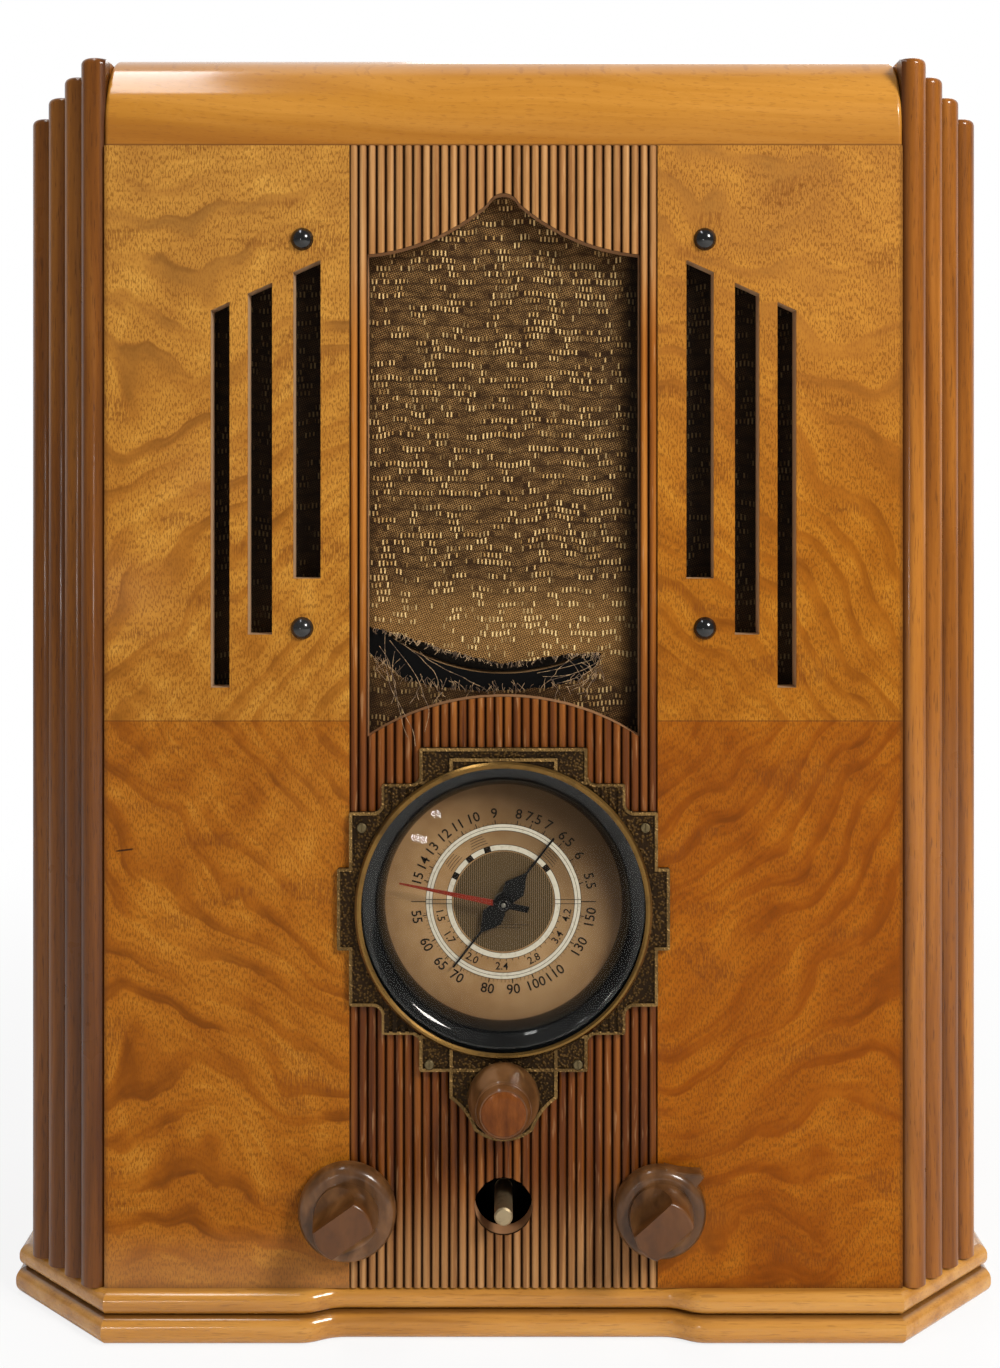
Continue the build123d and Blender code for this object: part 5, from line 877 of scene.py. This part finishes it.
def dark_markings():
    """Hairlines beside the rings, ticks, bars across them, and short rows of plain lines."""
    ink = bmesh.new()
    hair, beside = 0.16 * MM, 0.1 * MM
    for radius in (RING_OUT + beside, (RING_IN + RING_OUT) / 2, RING_IN - beside,
                   DISC_OUT + beside, DISC_IN - beside):
        ink_ring(ink, radius - hair / 2, radius + hair / 2, lift=1.6)
    for _, angle in UPPER_NUMBERS + LOWER_NUMBERS:
        ink_bar(ink, angle, RING_OUT, RING_OUT + 1.7 * MM, 0.3 * MM)
    for step in range(58):
        length = (1.2 if step % 5 else 0.8) * MM
        ink_bar(ink, 99.0 + step * 2.85, RING_OUT, RING_OUT + length, 0.13 * MM)
    for step in range(46):
        ink_bar(ink, -76.0 + step * 3.4, RING_OUT, RING_OUT + 0.9 * MM, 0.13 * MM)
    for step in range(26):
        ink_bar(ink, 104.0 + step * 6.1, DISC_OUT, DISC_OUT + 1.0 * MM, 0.22 * MM)
    for angle in (-61.7, -38.5, -17.3, 52.0):
        ink_bar(ink, angle, DISC_IN - beside, DISC_OUT + beside, 2.4 * MM, lift=2.2)
    for side in (90.0, 270.0):
        for shift in (-0.75 * MM, 0.75 * MM):
            ink_bar(ink, side, DISC_IN, RING_OUT, 0.2 * MM, lift=2.4, shift=shift)
        ink_bar(ink, side, RING_OUT, BARS_OUT, 0.3 * MM)
    # Short rows of fine lines between the two rings, and two level lines below the middle
    for angle in (-52, -24, 46):
        for row in range(4):
            radius = ROWS_IN + (ROWS_OUT - ROWS_IN) * row / 3
            ink_ring(ink, radius, radius + 0.18 * MM, angle - 8 + row, angle + 9 - row, steps=8, lift=1.8)
    y, thin = SCALE_FACE - INK_LIFT * 2, 0.09 * MM
    for drop, half in ((8.25 * MM, 9.0 * MM), (9.3 * MM, 6.0 * MM)):
        corners = ((-half, -thin), (half, -thin), (half, thin), (-half, thin))
        ink.faces.new([ink.verts.new((x, y, DIAL_Z - drop + z)) for x, z in corners])
    piece("dial_markings", ink, "dark_ink")


numbers([(text, NUMBERS_R, angle, True) for text, angle in UPPER_NUMBERS]
        + [(text, NUMBERS_R, angle, False) for text, angle in LOWER_NUMBERS], 4.9 * MM, "dial_numbers")
numbers([(text, INNER_NUMBERS_R, angle, False) for text, angle in INNER_NUMBERS], 3.8 * MM,
        "dial_inner_numbers")
white_rings()
dark_markings()


# Turned pieces: the tuning knob's front and bead, the mask's rolled face, the quick hand's hub
def turned_piece(name, profile, centre, finish, body, steps=72):
    """A ring or disc turned on a front-to-back axis, from (radius, y) points in metres."""
    shape = bmesh.new()
    rings = []
    for radius, y in profile:
        # A point on the axis is one vertex
        turns = [2 * math.pi * k / steps for k in range(steps if radius else 1)]
        rings.append([shape.verts.new((centre[0] + radius * math.cos(turn), y,
                                       centre[1] + radius * math.sin(turn))) for turn in turns])
    for a, b in zip(rings, rings[1:]):
        for k in range(steps):
            j = (k + 1) % steps
            corners = [a[k % len(a)], a[j % len(a)], b[j % len(b)], b[k % len(b)]]
            unique = list(dict.fromkeys(corners))
            if len(unique) > 2:
                shape.faces.new(unique)
    bmesh.ops.recalc_face_normals(shape, faces=shape.faces)
    return smooth(piece(name, shape, finish, body))


KNOB_LOW, KNOB_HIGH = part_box("tuning_knob")
KNOB_Z = (KNOB_LOW[2] + KNOB_HIGH[2]) / 2
KNOB_FACE = KNOB_LOW[1]
# Radii and depths from the knob's face, in millimetres
FRONT_DISC = ((0, -0.5), (4.0, -0.45), (7.2, -0.25), (7.7, -0.02), (7.7, 0.3), (0, 0.3))
turned_piece("tuning_knob_front", [(r * MM, KNOB_FACE + y * MM) for r, y in FRONT_DISC],
             (0.0, KNOB_Z), "knob_front", "tuning_drive")


def bead(radius, y, thick):
    """The round profile of a bead, its middle at this radius and depth."""
    sides = 10
    turns = [2 * math.pi * k / sides for k in range(sides + 1)]
    return [(radius + thick * math.cos(turn), y + thick * math.sin(turn)) for turn in turns]


turned_piece("tuning_knob_bead", bead(9.2 * MM, KNOB_FACE + 3.0 * MM, 0.55 * MM), (0.0, KNOB_Z),
             "knob_wood", "tuning_drive")


def mask_roll():
    """The profile of the black ring's glossy rolled face, from under the glass in to the scale."""
    outer, shoulder, inner = 49.6 * MM, 48.8 * MM, 42.0 * MM
    front, back, thick = FRONT_Y - 1.28 * MM, FRONT_Y + 9.3 * MM, 0.3 * MM
    points = [(outer, front)]
    steps = 14
    for k in range(steps + 1):
        turn = math.pi / 2 * k / steps
        points.append((shoulder - (shoulder - inner) * math.sin(turn),
                       back - (back - front) * math.cos(turn)))
    return points + [(inner + thick, back), (outer, front + thick), (outer, front)]


turned_piece("dial_mask_roll", mask_roll(), (0.0, DIAL_Z), "dial_black", "cabinet",
             steps=144)
HUB_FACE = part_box("log_hand")[0][1]
turned_piece("hand_hub_ring", bead(1.7 * MM, HUB_FACE, 0.28 * MM), (0.0, DIAL_Z), "black_enamel",
             "quick_hand", steps=48)
turned_piece("hand_hub_cap", [(0, HUB_FACE - 0.25 * MM), (0.6 * MM, HUB_FACE - 0.2 * MM),
                              (0.85 * MM, HUB_FACE), (0, HUB_FACE)], (0.0, DIAL_Z), "plated_steel",
             "quick_hand", steps=32)


# Stage: pale floor, white all round for the camera, soft lamps
def stage_floor():
    """A white floor that keeps the shadow near the object and fades into the background."""
    shape = bmesh.new()
    reach = 6.0
    corners = ((-reach, -reach), (reach, -reach), (reach, reach), (-reach, reach))
    shape.faces.new([shape.verts.new((x, y, 0)) for x, y in corners])
    p = Paint("floor")
    seen = p.node("ShaderNodeLightPath", output="Is Camera Ray")
    far = ((p.x * p.x + p.y * p.y) ** 0.5).step(0.2, 0.8)
    lit = p.surface(Base_Color=(0.9, 0.9, 0.9, 1), Roughness=0.6, Specular_IOR_Level=0.1)
    glow = p.node("ShaderNodeEmission", {}, {"Color": (1, 1, 1, 1), "Strength": 1.0})
    mixed = p.node("ShaderNodeMixShader", {}, (seen * (far * 0.15 + 0.85), lit, glow))
    floor = mesh_object("floor", shape, p.done(mixed))


def white_world():
    """White for the camera, and behind the object for mirrored rays; a dim room for the rest."""
    world = bpy.data.worlds.new("studio")
    bpy.context.scene.world = world
    p = Paint(world=world)
    seen = p.node("ShaderNodeLightPath", output="Is Camera Ray")
    mirrored = p.node("ShaderNodeLightPath", output="Is Glossy Ray")
    through = p.node("ShaderNodeLightPath", output="Is Transmission Ray")
    way = p.node("ShaderNodeTexCoord", output="Generated")
    ahead = p.node("ShaderNodeSeparateXYZ", {}, (way,), output="Y")
    backdrop = (mirrored + through) * ahead.step(0.08, 0.35)
    share = (seen + backdrop).math("MINIMUM", 1.0)
    room = p.node("ShaderNodeBackground", {}, ((1.0, 0.99, 0.97, 1), 0.28))
    white = p.node("ShaderNodeBackground", {}, ((1, 1, 1, 1), 1.0))
    p.done(p.node("ShaderNodeMixShader", {}, (share, room, white)))


def softbox(name, place, target, width, height, power, colour=(1, 1, 1), mirrored=True):
    """A rectangular lamp at a place, aimed at a target. Gloss shows it only if it is mirrored."""
    lamp = bpy.data.lights.new(name, "AREA")
    lamp.shape = "RECTANGLE"
    lamp.size, lamp.size_y = width, height
    lamp.energy = power
    lamp.color = colour
    made = new_object(name, lamp)
    made.location = place
    made.rotation_euler = (Vector(target) - Vector(place)).to_track_quat("-Z", "Y").to_euler()
    made.visible_glossy = mirrored


# The camera's place, the width that it sees at the front, and its shifts as shares of that width
CAMERA_DISTANCE = 620.0 * MM
HORIZON_Z = 302.6 * MM
FRAME_WIDTH = 350.0 * MM
SHIFT_UP, SHIFT_RIGHT = -209 / 1000, -3.5 / 1000
SENSOR = 36.0


def camera():
    """Level and square to the front, at the photograph's height and distance."""
    data = bpy.data.cameras.new("camera")
    data.sensor_fit = "HORIZONTAL"
    data.sensor_width = SENSOR
    data.lens = SENSOR * CAMERA_DISTANCE / FRAME_WIDTH
    data.shift_y = SHIFT_UP
    data.shift_x = SHIFT_RIGHT
    made = new_object("camera", data)
    made.location = (0, FRONT_Y - CAMERA_DISTANCE, HORIZON_Z)
    made.rotation_euler = (math.pi / 2, 0, 0)
    bpy.context.scene.camera = made


stage_floor()
white_world()
middle = (0, FRONT_Y, 0.22)
softbox("key", (0.95, -1.15, 1.15), middle, 0.45, 0.45, power=27.5, colour=(1.0, 0.98, 0.94))
softbox("low_fill", (-0.3, -1.6, 0.35), middle, 1.0, 0.5, power=1.6, mirrored=False)
softbox("strip", (-0.31, -0.18, 1.28), (-0.31, -0.17, 0.0), 0.14, 0.75, power=3.3, colour=(0.94, 0.97, 1.0))
softbox("back_light", (0.3, 1.4, 1.1), (0, 0, 0.2), 0.8, 0.8, power=7.0)
for index, (x, z) in enumerate(((-0.47, 0.17), (-0.36, 0.3), (-0.43, 0.16))):
    softbox(f"glint_{index}", (x, -1.6, z), (0, FRONT_Y, DIAL_Z), 0.05, 0.035, power=0.32)
camera()
bpy.context.scene.view_settings.view_transform = "Standard"
